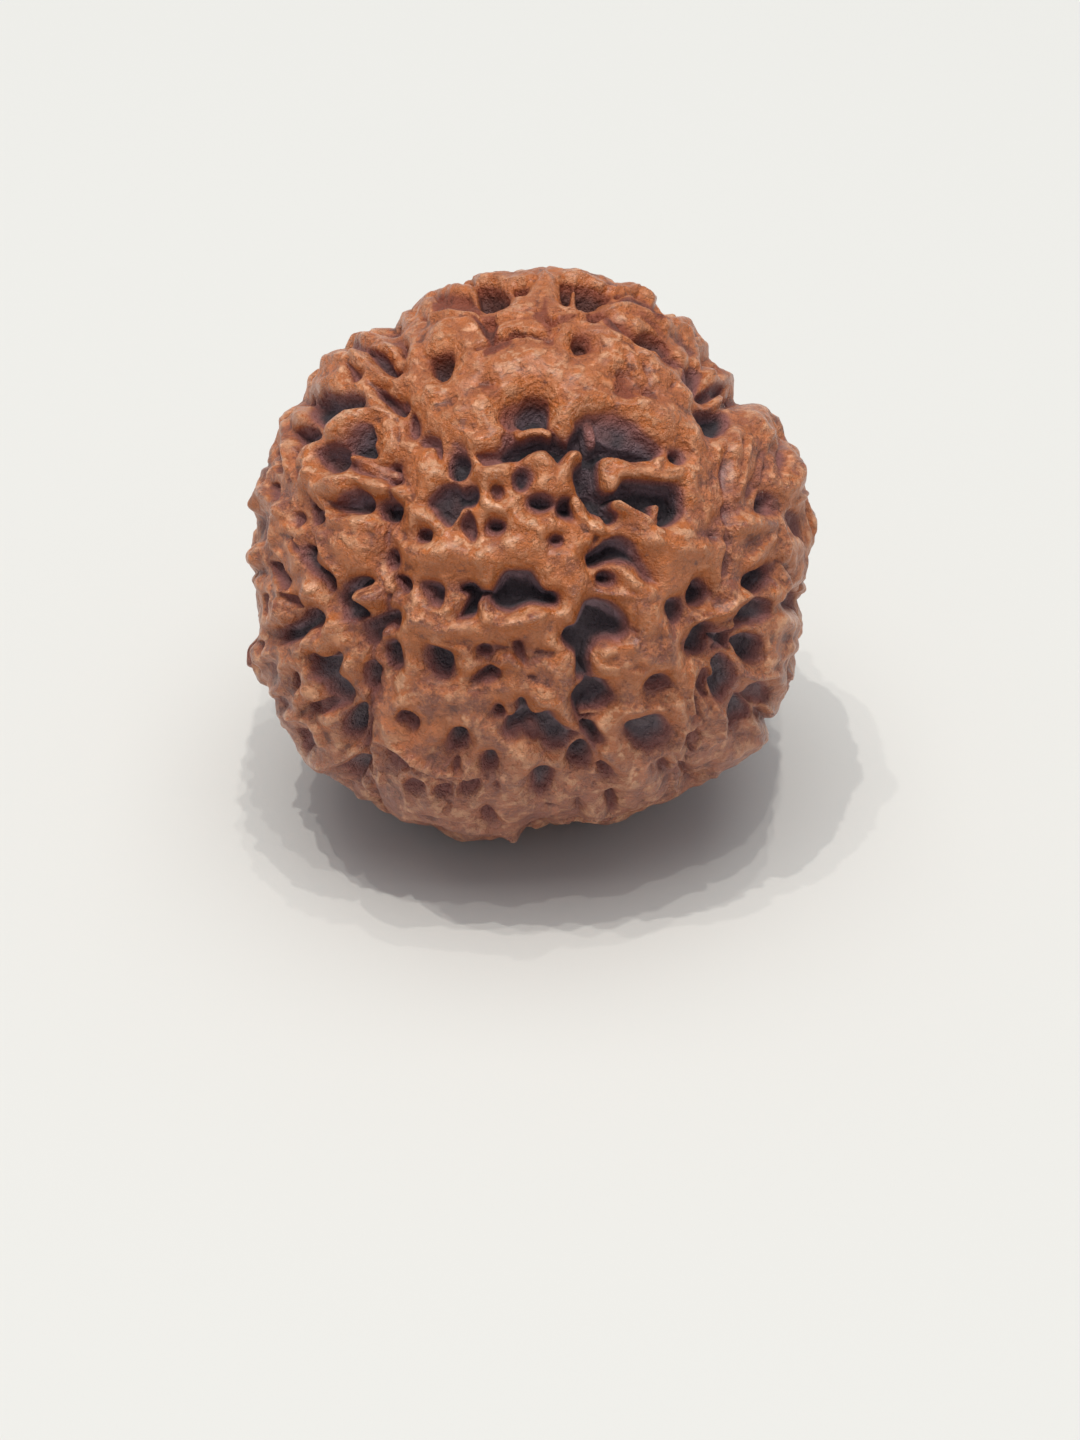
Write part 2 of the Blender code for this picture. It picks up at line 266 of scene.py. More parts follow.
# Cavities read off the photograph: the outline's pixels, the depth in mm and, for some, the side in the
# picture whose wall is a long slope: x to the right, y down
cavities = [
    # crown
    ([(478, 289), (488, 287), (500, 290), (508, 296), (511, 303), (505, 310), (492, 312), (481, 310)], 1.6),
    ([(574, 290), (590, 287), (609, 287), (614, 294), (610, 303), (598, 308), (583, 312), (576, 306)], 1.6),
    ([(612, 300), (625, 298), (638, 299), (650, 305), (661, 315), (668, 325), (660, 326), (650, 318),
      (640, 309), (628, 305), (614, 306)], 0.8),
    ([(583, 321), (590, 316), (602, 318), (606, 325), (600, 329), (588, 328)], 0.6),
    ([(632, 342), (642, 337), (652, 340), (662, 346), (668, 356), (660, 357), (648, 351), (638, 348)], 1.0),
    ([(656, 355), (664, 357), (674, 362), (672, 368), (662, 364)], 0.6),
    ([(470, 317), (485, 319), (497, 320), (497, 332), (493, 346), (487, 343), (483, 330), (477, 323)], 0.45),
    ([(683, 372), (691, 368), (700, 374), (701, 388), (696, 396), (688, 388)], 0.7),
    ([(612, 377), (625, 374), (636, 384), (650, 397), (640, 402), (622, 394)], 0.45),
    ([(431, 362), (440, 359), (452, 358), (456, 366), (454, 376), (449, 382), (441, 381), (433, 375)], 1.3),
    ([(438, 300), (455, 301), (470, 300), (477, 308), (470, 313), (450, 314), (438, 308)], 0.6),
    ([(366, 350), (378, 353), (387, 356), (391, 364), (400, 367), (395, 372), (386, 372), (376, 363)], 0.9),
    ([(348, 343), (360, 343), (367, 349), (366, 356), (352, 357), (346, 350)], 0.5),
    ([(376, 388), (386, 391), (398, 402), (403, 412), (396, 412), (386, 404), (378, 397)], 0.8),
    # below the crown
    ([(512, 410), (518, 400), (530, 395), (546, 397), (550, 406), (549, 418), (546, 426), (536, 426),
      (522, 429), (513, 422)], 1.3, (-0.7, -0.7)),
    ([(511, 443), (528, 434), (545, 429), (554, 430), (563, 438), (576, 445), (568, 450), (561, 459),
      (557, 463), (552, 456), (546, 450), (538, 450), (528, 455), (519, 461), (508, 461), (500, 458),
      (501, 451)], 1.25),
    ([(475, 455), (488, 452), (500, 452), (515, 448), (518, 456), (508, 462), (495, 467), (483, 467)], 0.6),
    ([(568, 444), (573, 430), (583, 422), (592, 428), (604, 437), (620, 443), (640, 447), (657, 453),
      (650, 461), (630, 462), (612, 458), (601, 459), (600, 470), (601, 485), (598, 498), (588, 500),
      (577, 492), (574, 480), (575, 468), (583, 458), (580, 450)], 1.45),
    ([(574, 422), (590, 415), (610, 414), (628, 420), (645, 434), (662, 449), (655, 457), (630, 452),
      (605, 446), (585, 434)], 0.92, (0.3, -1.0)),
    ([(500, 436), (510, 431), (518, 436), (520, 444), (512, 451), (502, 447)], 0.5),
    ([(449, 462), (454, 453), (464, 453), (471, 461), (470, 472), (464, 480), (453, 481), (448, 473)], 1.15),
    ([(455, 492), (462, 488), (472, 486), (479, 489), (481, 499), (476, 507), (468, 511), (460, 508),
      (455, 502)], 1.1, (-0.8, 0.6)),
    ([(418, 440), (425, 435), (440, 437), (443, 446), (442, 459), (437, 455), (433, 448),
      (422, 446)], 0.8, (-0.5, -0.8)),
    ([(470, 510), (476, 518), (478, 532), (475, 541), (468, 538), (461, 528), (463, 517)], 0.8),
    ([(580, 490), (600, 486), (606, 490), (616, 490), (621, 482), (630, 479), (655, 479), (668, 481),
      (677, 488), (681, 500), (683, 512), (677, 521), (666, 527), (656, 527), (652, 520), (640, 514),
      (628, 506), (617, 501), (612, 504), (618, 514), (616, 522), (608, 524), (602, 516), (592, 511),
      (586, 503)], 1.4),
    ([(587, 556), (594, 550), (602, 543), (611, 537), (622, 535), (632, 542), (638, 553), (646, 572),
      (643, 577), (632, 567), (620, 562), (610, 563), (600, 567), (589, 568)], 1.2, (0.9, 0.4)),
    ([(441, 455), (443, 442), (452, 434), (464, 436), (470, 446), (471, 456), (456, 462)], 0.4, (0.0, -1.0)),
    ([(428, 503), (436, 492), (446, 484), (458, 484), (466, 500), (463, 512), (458, 521), (450, 528),
      (442, 522), (434, 512)], 0.95),
    ([(497, 412), (505, 404), (515, 400), (520, 412), (518, 428), (510, 435), (501, 432)], 0.7, (-1.0, 0.0)),
    ([(388, 393), (400, 395), (409, 400), (411, 408), (400, 413), (390, 409)], 0.5),
    # middle
    ([(489, 596), (494, 588), (499, 578), (506, 571), (518, 570), (530, 571), (537, 580), (545, 590),
      (556, 593), (557, 604), (545, 606), (530, 605), (520, 608), (510, 612), (498, 610), (491, 603)], 1.35),
    ([(461, 585), (472, 583), (479, 589), (481, 597), (477, 605), (475, 616), (460, 618), (463, 607),
      (467, 597), (459, 592)], 1.15),
    ([(479, 591), (491, 591), (491, 596), (479, 597)], 0.8),
    ([(420, 581), (432, 580), (441, 584), (445, 592), (442, 607), (433, 605), (427, 598),
      (420, 591)], 0.9, (-1.0, 0.1)),
    ([(391, 577), (400, 577), (408, 582), (411, 589), (405, 595), (397, 590)], 0.8),
    ([(418, 531), (426, 528), (433, 531), (433, 541), (427, 543), (417, 540)], 0.8),
    ([(400, 530), (418, 528), (418, 541), (402, 541)], 0.25),
    ([(561, 638), (566, 628), (575, 624), (580, 613), (586, 603), (597, 599), (610, 601), (620, 607),
      (627, 615), (629, 632), (622, 639), (610, 641), (600, 645), (593, 655), (588, 668), (590, 680),
      (577, 680), (576, 665), (575, 655), (567, 648)], 1.3, (0.7, -0.5)),
    ([(664, 601), (672, 597), (682, 600), (686, 612), (680, 622), (671, 624), (665, 612)], 0.9),
    # lower front
    ([(425, 650), (431, 648), (440, 652), (450, 656), (452, 664), (450, 674), (446, 682), (436, 681),
      (428, 674), (424, 662)], 1.1, (-0.5, 0.87)),
    ([(481, 672), (488, 668), (497, 669), (501, 677), (498, 683), (488, 685), (476, 686),
      (472, 682)], 0.9, (0.0, 1.0)),
    ([(512, 644), (518, 642), (523, 646), (525, 655), (526, 663), (522, 666), (518, 660),
      (513, 655)], 0.6, (0.0, 1.0)),
    ([(492, 647), (512, 646), (513, 653), (494, 655)], 0.3, (0.0, 1.0)),
    ([(571, 700), (574, 690), (583, 684), (594, 681), (606, 683), (611, 690), (618, 700), (612, 708),
      (600, 714), (586, 721), (579, 720), (573, 710)], 1.25, (0.9, 0.4)),
    ([(582, 725), (594, 725), (600, 733), (602, 742), (594, 746), (586, 738), (580, 730)], 1.05, (0.0, 1.0)),
    ([(505, 722), (514, 718), (516, 708), (520, 702), (525, 704), (530, 714), (540, 717), (550, 716),
      (556, 724), (566, 729), (578, 731), (580, 738), (571, 745), (560, 752), (548, 750), (540, 742),
      (535, 735), (525, 735), (508, 738), (502, 733)], 1.1, (0.0, 1.0)),
    ([(627, 727), (636, 721), (650, 719), (663, 718), (671, 725), (672, 738), (662, 745), (648, 750),
      (638, 747), (629, 738)], 1.1, (0.6, 0.8)),
    ([(647, 683), (652, 676), (660, 674), (670, 677), (672, 685), (664, 690), (655, 691),
      (647, 689)], 0.8, (0.0, 1.0)),
    ([(567, 757), (572, 748), (580, 744), (588, 748), (593, 756), (590, 766), (583, 772), (573, 770),
      (567, 764)], 1.15, (0.0, 1.0)),
    ([(597, 765), (603, 761), (610, 765), (614, 772), (608, 777), (600, 774)], 0.8, (0.0, 1.0)),
    ([(531, 780), (536, 771), (545, 768), (552, 771), (553, 781), (547, 790), (540, 797),
      (534, 792)], 1.05, (0.0, 1.0)),
    ([(655, 758), (663, 756), (669, 762), (670, 772), (662, 774), (655, 768)], 0.6, (0.7, 0.7)),
    ([(672, 763), (678, 763), (680, 774), (673, 778)], 0.35, (0.0, 1.0)),
    ([(447, 741), (450, 733), (458, 730), (466, 734), (467, 743), (463, 751), (450, 752)], 1.1, (0.0, 1.0)),
    ([(482, 760), (486, 754), (493, 753), (498, 760), (497, 768), (488, 773), (482, 768)], 1.0, (0.0, 1.0)),
    ([(492, 715), (498, 710), (504, 713), (505, 720), (498, 722), (493, 719)], 0.8, (0.0, 1.0)),
    ([(398, 713), (404, 707), (413, 711), (419, 718), (421, 726), (415, 729), (406, 722),
      (400, 718)], 0.9, (0.6, 0.8)),
    ([(383, 755), (390, 748), (400, 752), (409, 757), (411, 763), (402, 767), (395, 772),
      (386, 768)], 0.8, (0.0, 1.0)),
    ([(404, 783), (410, 779), (422, 778), (426, 785), (418, 792), (408, 790)], 0.7, (0.0, 1.0)),
    ([(435, 783), (450, 782), (453, 790), (446, 795), (437, 792)], 0.6, (0.0, 1.0)),
    ([(460, 782), (478, 782), (479, 790), (470, 797), (461, 795), (458, 788)], 0.7, (0.0, 1.0)),
    # left lobes
    ([(316, 402), (328, 397), (345, 398), (360, 397), (366, 402), (360, 410), (350, 413), (340, 418),
      (334, 426), (327, 431), (320, 425), (316, 413)], 1.0),
    ([(352, 446), (358, 438), (366, 430), (374, 426), (375, 436), (373, 446), (375, 457), (362, 456),
      (351, 453)], 1.1),
    ([(327, 454), (336, 447), (350, 449), (351, 457), (349, 465), (344, 473), (335, 474), (328, 468),
      (325, 460)], 1.0),
    ([(352, 462), (372, 460), (385, 462), (397, 461), (398, 470), (396, 481), (386, 480), (372, 478),
      (360, 474), (351, 468)], 0.45),
    ([(385, 467), (392, 463), (397, 469), (397, 480), (391, 485), (386, 480)], 0.9),
    ([(299, 434), (305, 430), (313, 429), (320, 431), (324, 438), (321, 442), (312, 443), (306, 446),
      (301, 442)], 0.9),
    ([(339, 507), (348, 499), (356, 493), (364, 490), (371, 495), (372, 505), (370, 513), (360, 515),
      (346, 512)], 0.8),
    ([(377, 503), (386, 499), (394, 501), (398, 508), (396, 517), (390, 521), (380, 520), (376, 513)], 1.1),
    ([(314, 505), (319, 503), (323, 508), (329, 515), (328, 523), (321, 526), (316, 518)], 0.8),
    ([(301, 514), (307, 513), (309, 522), (306, 530), (301, 525)], 0.5),
    ([(277, 486), (283, 484), (288, 493), (289, 502), (283, 502), (278, 494)], 0.55),
    ([(277, 562), (285, 562), (292, 570), (297, 580), (297, 590), (291, 585), (284, 577)], 0.7),
    ([(293, 590), (300, 593), (306, 600), (307, 607), (300, 606), (294, 599)], 0.6),
    ([(312, 545), (319, 548), (321, 560), (327, 568), (333, 574), (337, 585), (334, 592), (329, 583),
      (322, 573), (314, 566), (310, 555)], 0.9),
    ([(301, 538), (307, 543), (311, 552), (306, 554), (301, 546)], 0.5),
    ([(273, 594), (279, 592), (281, 602), (280, 612), (275, 612)], 0.5),
    ([(283, 634), (291, 625), (302, 618), (309, 610), (320, 609), (327, 617), (323, 626), (312, 629),
      (307, 636), (297, 641), (287, 641)], 1.05),
    ([(325, 618), (330, 620), (330, 629), (326, 634), (324, 626)], 0.5),
    ([(349, 583), (356, 577), (366, 577), (371, 582), (365, 588), (356, 591), (355, 600), (362, 608),
      (367, 616), (360, 620), (350, 618), (343, 609), (340, 598), (343, 590)], 1.15),
    ([(364, 622), (375, 616), (386, 612), (396, 614), (399, 624), (394, 631), (384, 628), (378, 635),
      (375, 646), (368, 644), (363, 633)], 0.85),
    ([(379, 650), (386, 644), (394, 646), (399, 655), (401, 668), (395, 675), (386, 672), (381, 662)], 1.0),
    ([(312, 656), (318, 652), (325, 656), (333, 655), (340, 651), (344, 656), (341, 665), (340, 673),
      (346, 681), (353, 690), (353, 699), (342, 701), (332, 694), (327, 682), (320, 672)], 1.1),
    ([(312, 703), (320, 697), (334, 695), (350, 697), (352, 705), (340, 708), (325, 711), (315, 709)], 0.7),
    ([(345, 719), (351, 709), (361, 707), (363, 720), (361, 734), (354, 738), (346, 732)], 1.25),
    ([(363, 665), (370, 662), (374, 670), (374, 685), (369, 692), (364, 684)], 0.8),
    ([(298, 670), (304, 672), (306, 680), (303, 688), (298, 686), (296, 678)], 0.6),
    ([(268, 661), (276, 660), (281, 668), (279, 678), (271, 676)], 0.35),
    ([(263, 640), (272, 638), (274, 645), (268, 650)], 0.4),
    ([(300, 727), (310, 728), (317, 733), (320, 740), (314, 746), (307, 738)], 0.7),
    ([(282, 694), (289, 690), (295, 699), (294, 709), (286, 707)], 0.35),
    ([(339, 766), (350, 762), (362, 760), (367, 768), (362, 776), (357, 784), (350, 780), (344, 773)], 0.9),
    ([(359, 779), (366, 775), (370, 782), (364, 787)], 0.35),
    # right lobes
    ([(698, 394), (704, 389), (712, 386), (722, 384), (724, 390), (717, 397), (708, 399), (701, 398)], 0.8),
    ([(719, 400), (727, 402), (731, 407), (724, 409)], 0.4),
    ([(697, 412), (706, 408), (718, 409), (728, 413), (731, 421), (727, 430), (719, 435), (711, 431),
      (705, 422)], 1.1),
    ([(750, 470), (752, 455), (758, 452), (762, 465), (760, 482), (754, 495), (746, 500), (745, 488)], 0.4),
    ([(780, 512), (788, 511), (796, 516), (797, 530), (795, 540), (787, 534), (783, 525)], 0.6),
    ([(742, 584), (748, 575), (756, 569), (766, 566), (768, 574), (763, 584), (758, 592), (750, 593),
      (745, 589)], 1.15),
    ([(779, 604), (782, 596), (788, 590), (797, 594), (801, 602), (794, 609), (784, 609)], 0.8),
    ([(689, 597), (692, 588), (698, 580), (706, 581), (713, 588), (714, 598), (708, 605), (700, 608),
      (692, 605)], 1.15),
    ([(750, 598), (758, 596), (765, 600), (766, 612), (758, 619), (748, 622), (738, 624), (732, 632),
      (728, 640), (722, 648), (716, 652), (716, 645), (722, 636), (729, 626), (735, 617), (742, 607)], 0.9),
    ([(689, 652), (692, 640), (697, 630), (705, 624), (714, 624), (716, 632), (713, 640), (712, 650),
      (706, 657), (697, 658)], 1.1),
    ([(713, 637), (720, 633), (728, 629), (731, 640), (729, 650), (722, 647), (717, 643)], 0.9),
    ([(731, 643), (735, 635), (744, 632), (753, 634), (758, 641), (757, 652), (752, 660), (745, 662),
      (738, 655)], 1.15),
    ([(714, 665), (718, 657), (724, 653), (730, 660), (733, 672), (731, 685), (727, 697), (722, 703),
      (716, 697), (712, 685), (715, 676)], 1.1),
    ([(702, 676), (706, 669), (713, 670), (714, 680), (710, 690), (712, 698), (706, 700), (701, 694),
      (700, 684)], 0.6),
    ([(741, 693), (748, 685), (757, 680), (765, 684), (768, 693), (762, 700), (752, 702), (745, 700)], 0.8),
    ([(731, 712), (732, 700), (737, 693), (744, 698), (748, 706), (745, 716), (738, 722), (732, 728),
      (729, 722)], 1.0),
    ([(782, 664), (787, 655), (794, 649), (796, 662), (790, 670), (783, 671)], 0.4),
    ([(784, 683), (790, 675), (797, 673), (796, 685), (789, 691)], 0.4),
    ([(688, 738), (694, 734), (700, 731), (703, 736), (699, 742), (693, 752), (689, 748)], 0.5),
]

# Round and oval pits: middle x, y, width and height in pixels, turn in degrees, depth in mm
pits = [
    (521, 291, 16, 18, 0, 1.3), (566, 293, 14, 27, 0, 1.5), (579, 351, 20, 16, 0, 1.1),
    (667, 392, 6, 8, 0, 0.25), (405, 352, 6, 15, 0, 0.4), (358, 378, 8, 17, -20, 0.5),
    (548, 346, 7, 10, 20, 0.25), (550, 331, 9, 6, 20, 0.25), (539, 312, 11, 9, 0, 0.3),
    (552, 329, 8, 12, -20, 0.3), (543, 300, 4, 9, 15, 0.15), (489, 391, 20, 9, 0, 0.15),
    (620, 364, 14, 7, 0, 0.12), (498, 493, 17, 16, 0, 0.55), (497, 527, 20, 15, 0, 0.9),
    (541, 503, 27, 20, 5, 1.1), (567, 508, 23, 24, 0, 1.1), (411, 421, 12, 25, -5, 0.8),
    (521, 481, 18, 23, 5, 1.0), (676, 459, 17, 17, 0, 1.0), (607, 580, 20, 18, 0, 1.05),
    (557, 541, 15, 13, 0, 0.8), (388, 559, 12, 22, 0, 0.8), (483, 653, 18, 16, 0, 0.9),
    (486, 664, 9, 10, 0, 0.4), (610, 798, 12, 21, 0, 0.8), (488, 811, 15, 14, 0, 0.8),
    (457, 764, 12, 15, 0, 0.6), (487, 777, 8, 8, 0, 0.3), (450, 800, 9, 10, 0, 0.3),
    (433, 820, 11, 8, 40, 0.3), (551, 801, 15, 8, 0, 0.35), (578, 801, 9, 13, 0, 0.3),
    (762, 504, 17, 22, 0, 1.0), (771, 459, 7, 38, 4, 0.4), (264, 544, 8, 10, 0, 0.3),
    (270, 528, 10, 24, 0, 0.35), (273, 468, 20, 6, -8, 0.3), (436, 706, 6, 6, 0, 0.15),
    (421, 701, 6, 5, 0, 0.12), (466, 690, 8, 5, 0, 0.15), (532, 677, 9, 5, 10, 0.15),
    (668, 708, 6, 8, -30, 0.2), (636, 666, 12, 9, 0, 0.2), (646, 709, 10, 6, 0, 0.15),
    (649, 763, 7, 10, 0, 0.2), (596, 783, 10, 8, 0, 0.2), (342, 374, 10, 8, 0, 0.14),
    (690, 512, 20, 14, 0, 0.16), (711, 537, 8, 6, 0, 0.15), (545, 652, 22, 7, -8, 0.2),
    (497, 783, 8, 12, 0, 0.3),
]

# Narrow furrows: the pixels along them, half width in pixels, depth in mm
furrows = [
    ([(480, 358), (490, 352), (500, 346), (514, 341)], 3.5, 0.4),
    ([(514, 341), (528, 342), (540, 345), (550, 347), (558, 338)], 3.0, 0.32),
    ([(425, 323), (470, 320), (505, 321), (530, 318), (556, 320), (572, 318)], 2.5, 0.25),
    ([(572, 318), (586, 321)], 4.0, 0.4), ([(604, 324), (616, 330), (630, 341)], 5.0, 0.6),
    ([(618, 312), (636, 315), (652, 324), (668, 334)], 2.5, 0.25),
    ([(668, 330), (680, 334), (692, 340)], 2.5, 0.25), ([(672, 364), (684, 374)], 4.0, 0.5),
    ([(572, 341), (600, 345), (625, 356), (640, 372), (645, 390)], 3.0, 0.16),
    ([(724, 436), (723, 470), (725, 500), (725, 569), (718, 600), (708, 624)], 3.2, 0.25),
    ([(395, 412), (399, 430), (398, 465)], 3.0, 0.2), ([(392, 486), (388, 500)], 4.0, 0.4),
    ([(386, 520), (384, 548), (386, 575)], 3.5, 0.3), ([(388, 595), (384, 612)], 3.5, 0.4),
    ([(372, 640), (370, 662), (371, 690), (368, 712), (366, 738), (367, 760)], 4.0, 0.5),
    ([(367, 760), (370, 788), (380, 800)], 3.0, 0.35), ([(600, 530), (592, 550)], 4.0, 0.4),
    ([(588, 668), (588, 684)], 5.0, 0.7), ([(592, 744), (600, 760)], 4.0, 0.3),
    ([(712, 655), (704, 668), (697, 690), (697, 712), (706, 724), (690, 742), (686, 760)], 2.5, 0.16),
    ([(383, 745), (398, 750), (420, 764), (432, 775), (452, 781), (480, 781)], 3.0, 0.3),
    ([(280, 425), (282, 445), (284, 462), (287, 472)], 3.0, 0.35),
    ([(301, 452), (302, 470), (300, 482)], 2.5, 0.3), ([(272, 515), (272, 545)], 2.5, 0.25),
    ([(321, 524), (318, 535), (320, 545)], 2.5, 0.35), ([(266, 600), (267, 622)], 2.5, 0.25),
    ([(683, 765), (690, 778), (680, 790)], 4.0, 0.35), ([(772, 560), (785, 575), (778, 597)], 3.0, 0.3),
    ([(400, 570), (450, 574), (490, 572)], 8.0, 0.14),
]

cavityShape = {
    "shoulder": 17.0,  # pixels outside a cavity over which the skin rounds down to it
    "shoulderShare": 0.35,  # of that, round a cavity of no depth; it is whole at 1 mm
    "drop": 0.40,  # mm, at a cavity's edge
    "dropShare": 0.4,  # of a cavity's depth, at most
    "rimDrop": 0.42 * mm,  # how far a cavity's edge lies below the tops, for the pixels it was read at
    "wall": 8.0,  # pixels inside it where the floor is reached
    "wallShare": 0.85,  # of a cavity's half width, at most
    "steep": 0.8,  # times that at a cavity's steep side
    "gentle": 2.0,  # and at the side that it leans to
    "pitLean": (0.3, 1.0),  # the side of the round pits that is gentle
    "joining": 3.5,  # the power that joins cavities which meet, without a crease
}


def leaning(u, v, curve, lean):
    # 0 at a cavity's steep side, 1 at the side that it leans to, where its wall is a long slope
    ends = curve @ np.array(lean, float)
    return smooth(ends.min(), ends.max(), u * lean[0] + v * lean[1])


def cavityDepth(inside, deep, gentle=0.0):
    # in mm: the skin rounds down to the edge, then a wall runs to the floor
    shape = cavityShape
    edge = min(shape["drop"], shape["dropShare"] * deep)
    reach = shape["shoulder"] * min(1.0, shape["shoulderShare"] + (1.0 - shape["shoulderShare"]) * deep)
    outside = np.clip(1.0 + inside / reach, 0.0, 1.0)
    halfWidth = max(inside.max(), 2.0)
    wall = min(shape["wall"], shape["wallShare"] * halfWidth)
    wall = wall * (shape["steep"] + (shape["gentle"] - shape["steep"]) * gentle)
    within = np.clip(inside / wall, 0.0, 1.0)
    return np.where(inside < 0.0, edge * outside**2, edge + (deep - edge) * within * (2.0 - within))


def ovalOutline(wide, tall, turn, wobble=(), count=12):
    # an oval about 0, 0, its edge pushed in and out by a few waves
    points = []
    for index in range(count):
        angle = 2 * math.pi * index / count
        reach = 1.0
        for order, (size, phase) in enumerate(wobble, start=2):
            reach += size * math.cos(order * angle + phase)
        points.append(turned(wide / 2 * reach * math.cos(angle), tall / 2 * reach * math.sin(angle), turn))
    return points


def photoCavities(skin, sunk):
    # power sums join cavities that meet without a crease
    joining = cavityShape["joining"]
    shapes = list(cavities)
    for x, y, wide, tall, turn, deep in pits:
        oval = [(x + a, y + b) for a, b in ovalOutline(wide, tall, turn)]
        shapes.append((oval, deep, cavityShape["pitLean"]))
    for outline, deep, *lean in shapes:
        curve = rounded(outline)
        rows, u, v = skin.near(curve, cavityShape["shoulder"], skin.rims)
        if len(rows):
            gentle = leaning(u, v, curve, lean[0]) if lean else 0.0
            depth = cavityDepth(insideOutline(u, v, curve), deep, gentle)
            sunk[rows] += (depth * skin.seen[rows]) ** joining
    for line, half, deep in furrows:
        rows, apart = skin.beside(line, seed["lineReach"] * half, skin.rims)
        sunk[rows] += (deep * bell(apart, half) * skin.seen[rows]) ** joining


# Ridges left standing in the cavities and along the skyline: the pixels along them, half width in pixels,
# height in mm against the tops
ridges = [
    ([(591, 416), (596, 436)], 6.5, -0.62), ([(574, 290), (575, 310)], 3.0, -0.2),
    ([(476, 275), (495, 273), (512, 276), (530, 275)], 7.0, 0.0),
    ([(550, 272), (575, 273), (598, 278), (612, 286)], 7.0, 0.0),
    ([(618, 287), (640, 289), (655, 298)], 6.0, 0.0), ([(609, 466), (611, 482)], 8.5, 0.05),
    ([(610, 467), (628, 470), (645, 471), (658, 469), (663, 460)], 6.5, -0.02),
    ([(650, 472), (668, 474), (682, 472)], 7.0, 0.0), ([(658, 507), (657, 520)], 5.0, -0.3),
    ([(618, 504), (630, 511), (645, 518), (652, 527), (660, 533)], 4.5, 0.0),
    ([(577, 500), (582, 512), (592, 520), (603, 529)], 6.5, 0.05),
    ([(519, 432), (530, 427), (543, 425), (549, 428)], 5.0, -0.15),
    ([(354, 464), (372, 468), (384, 470)], 8.0, -0.35), ([(529, 740), (533, 744)], 7.0, -0.55),
    ([(583, 722), (600, 722)], 2.5, -0.25),
]

ridgeShape = {
    "reach": 1.4,  # half widths
    "side": (0.55, 1.25),  # half widths between which a ridge's side falls away
    "round": 0.10,  # mm that its back is lower one half width out
}


def photoRidges(skin, sunk):
    for line, half, level in ridges:
        rows, apart = skin.beside(line, ridgeShape["reach"] * half, skin.tops)
        share = apart / half
        keep = 1.0 - smooth(*ridgeShape["side"], share)
        sunk[rows] = sunk[rows] * (1.0 - keep) - (level - ridgeShape["round"] * share**2) * mm * keep


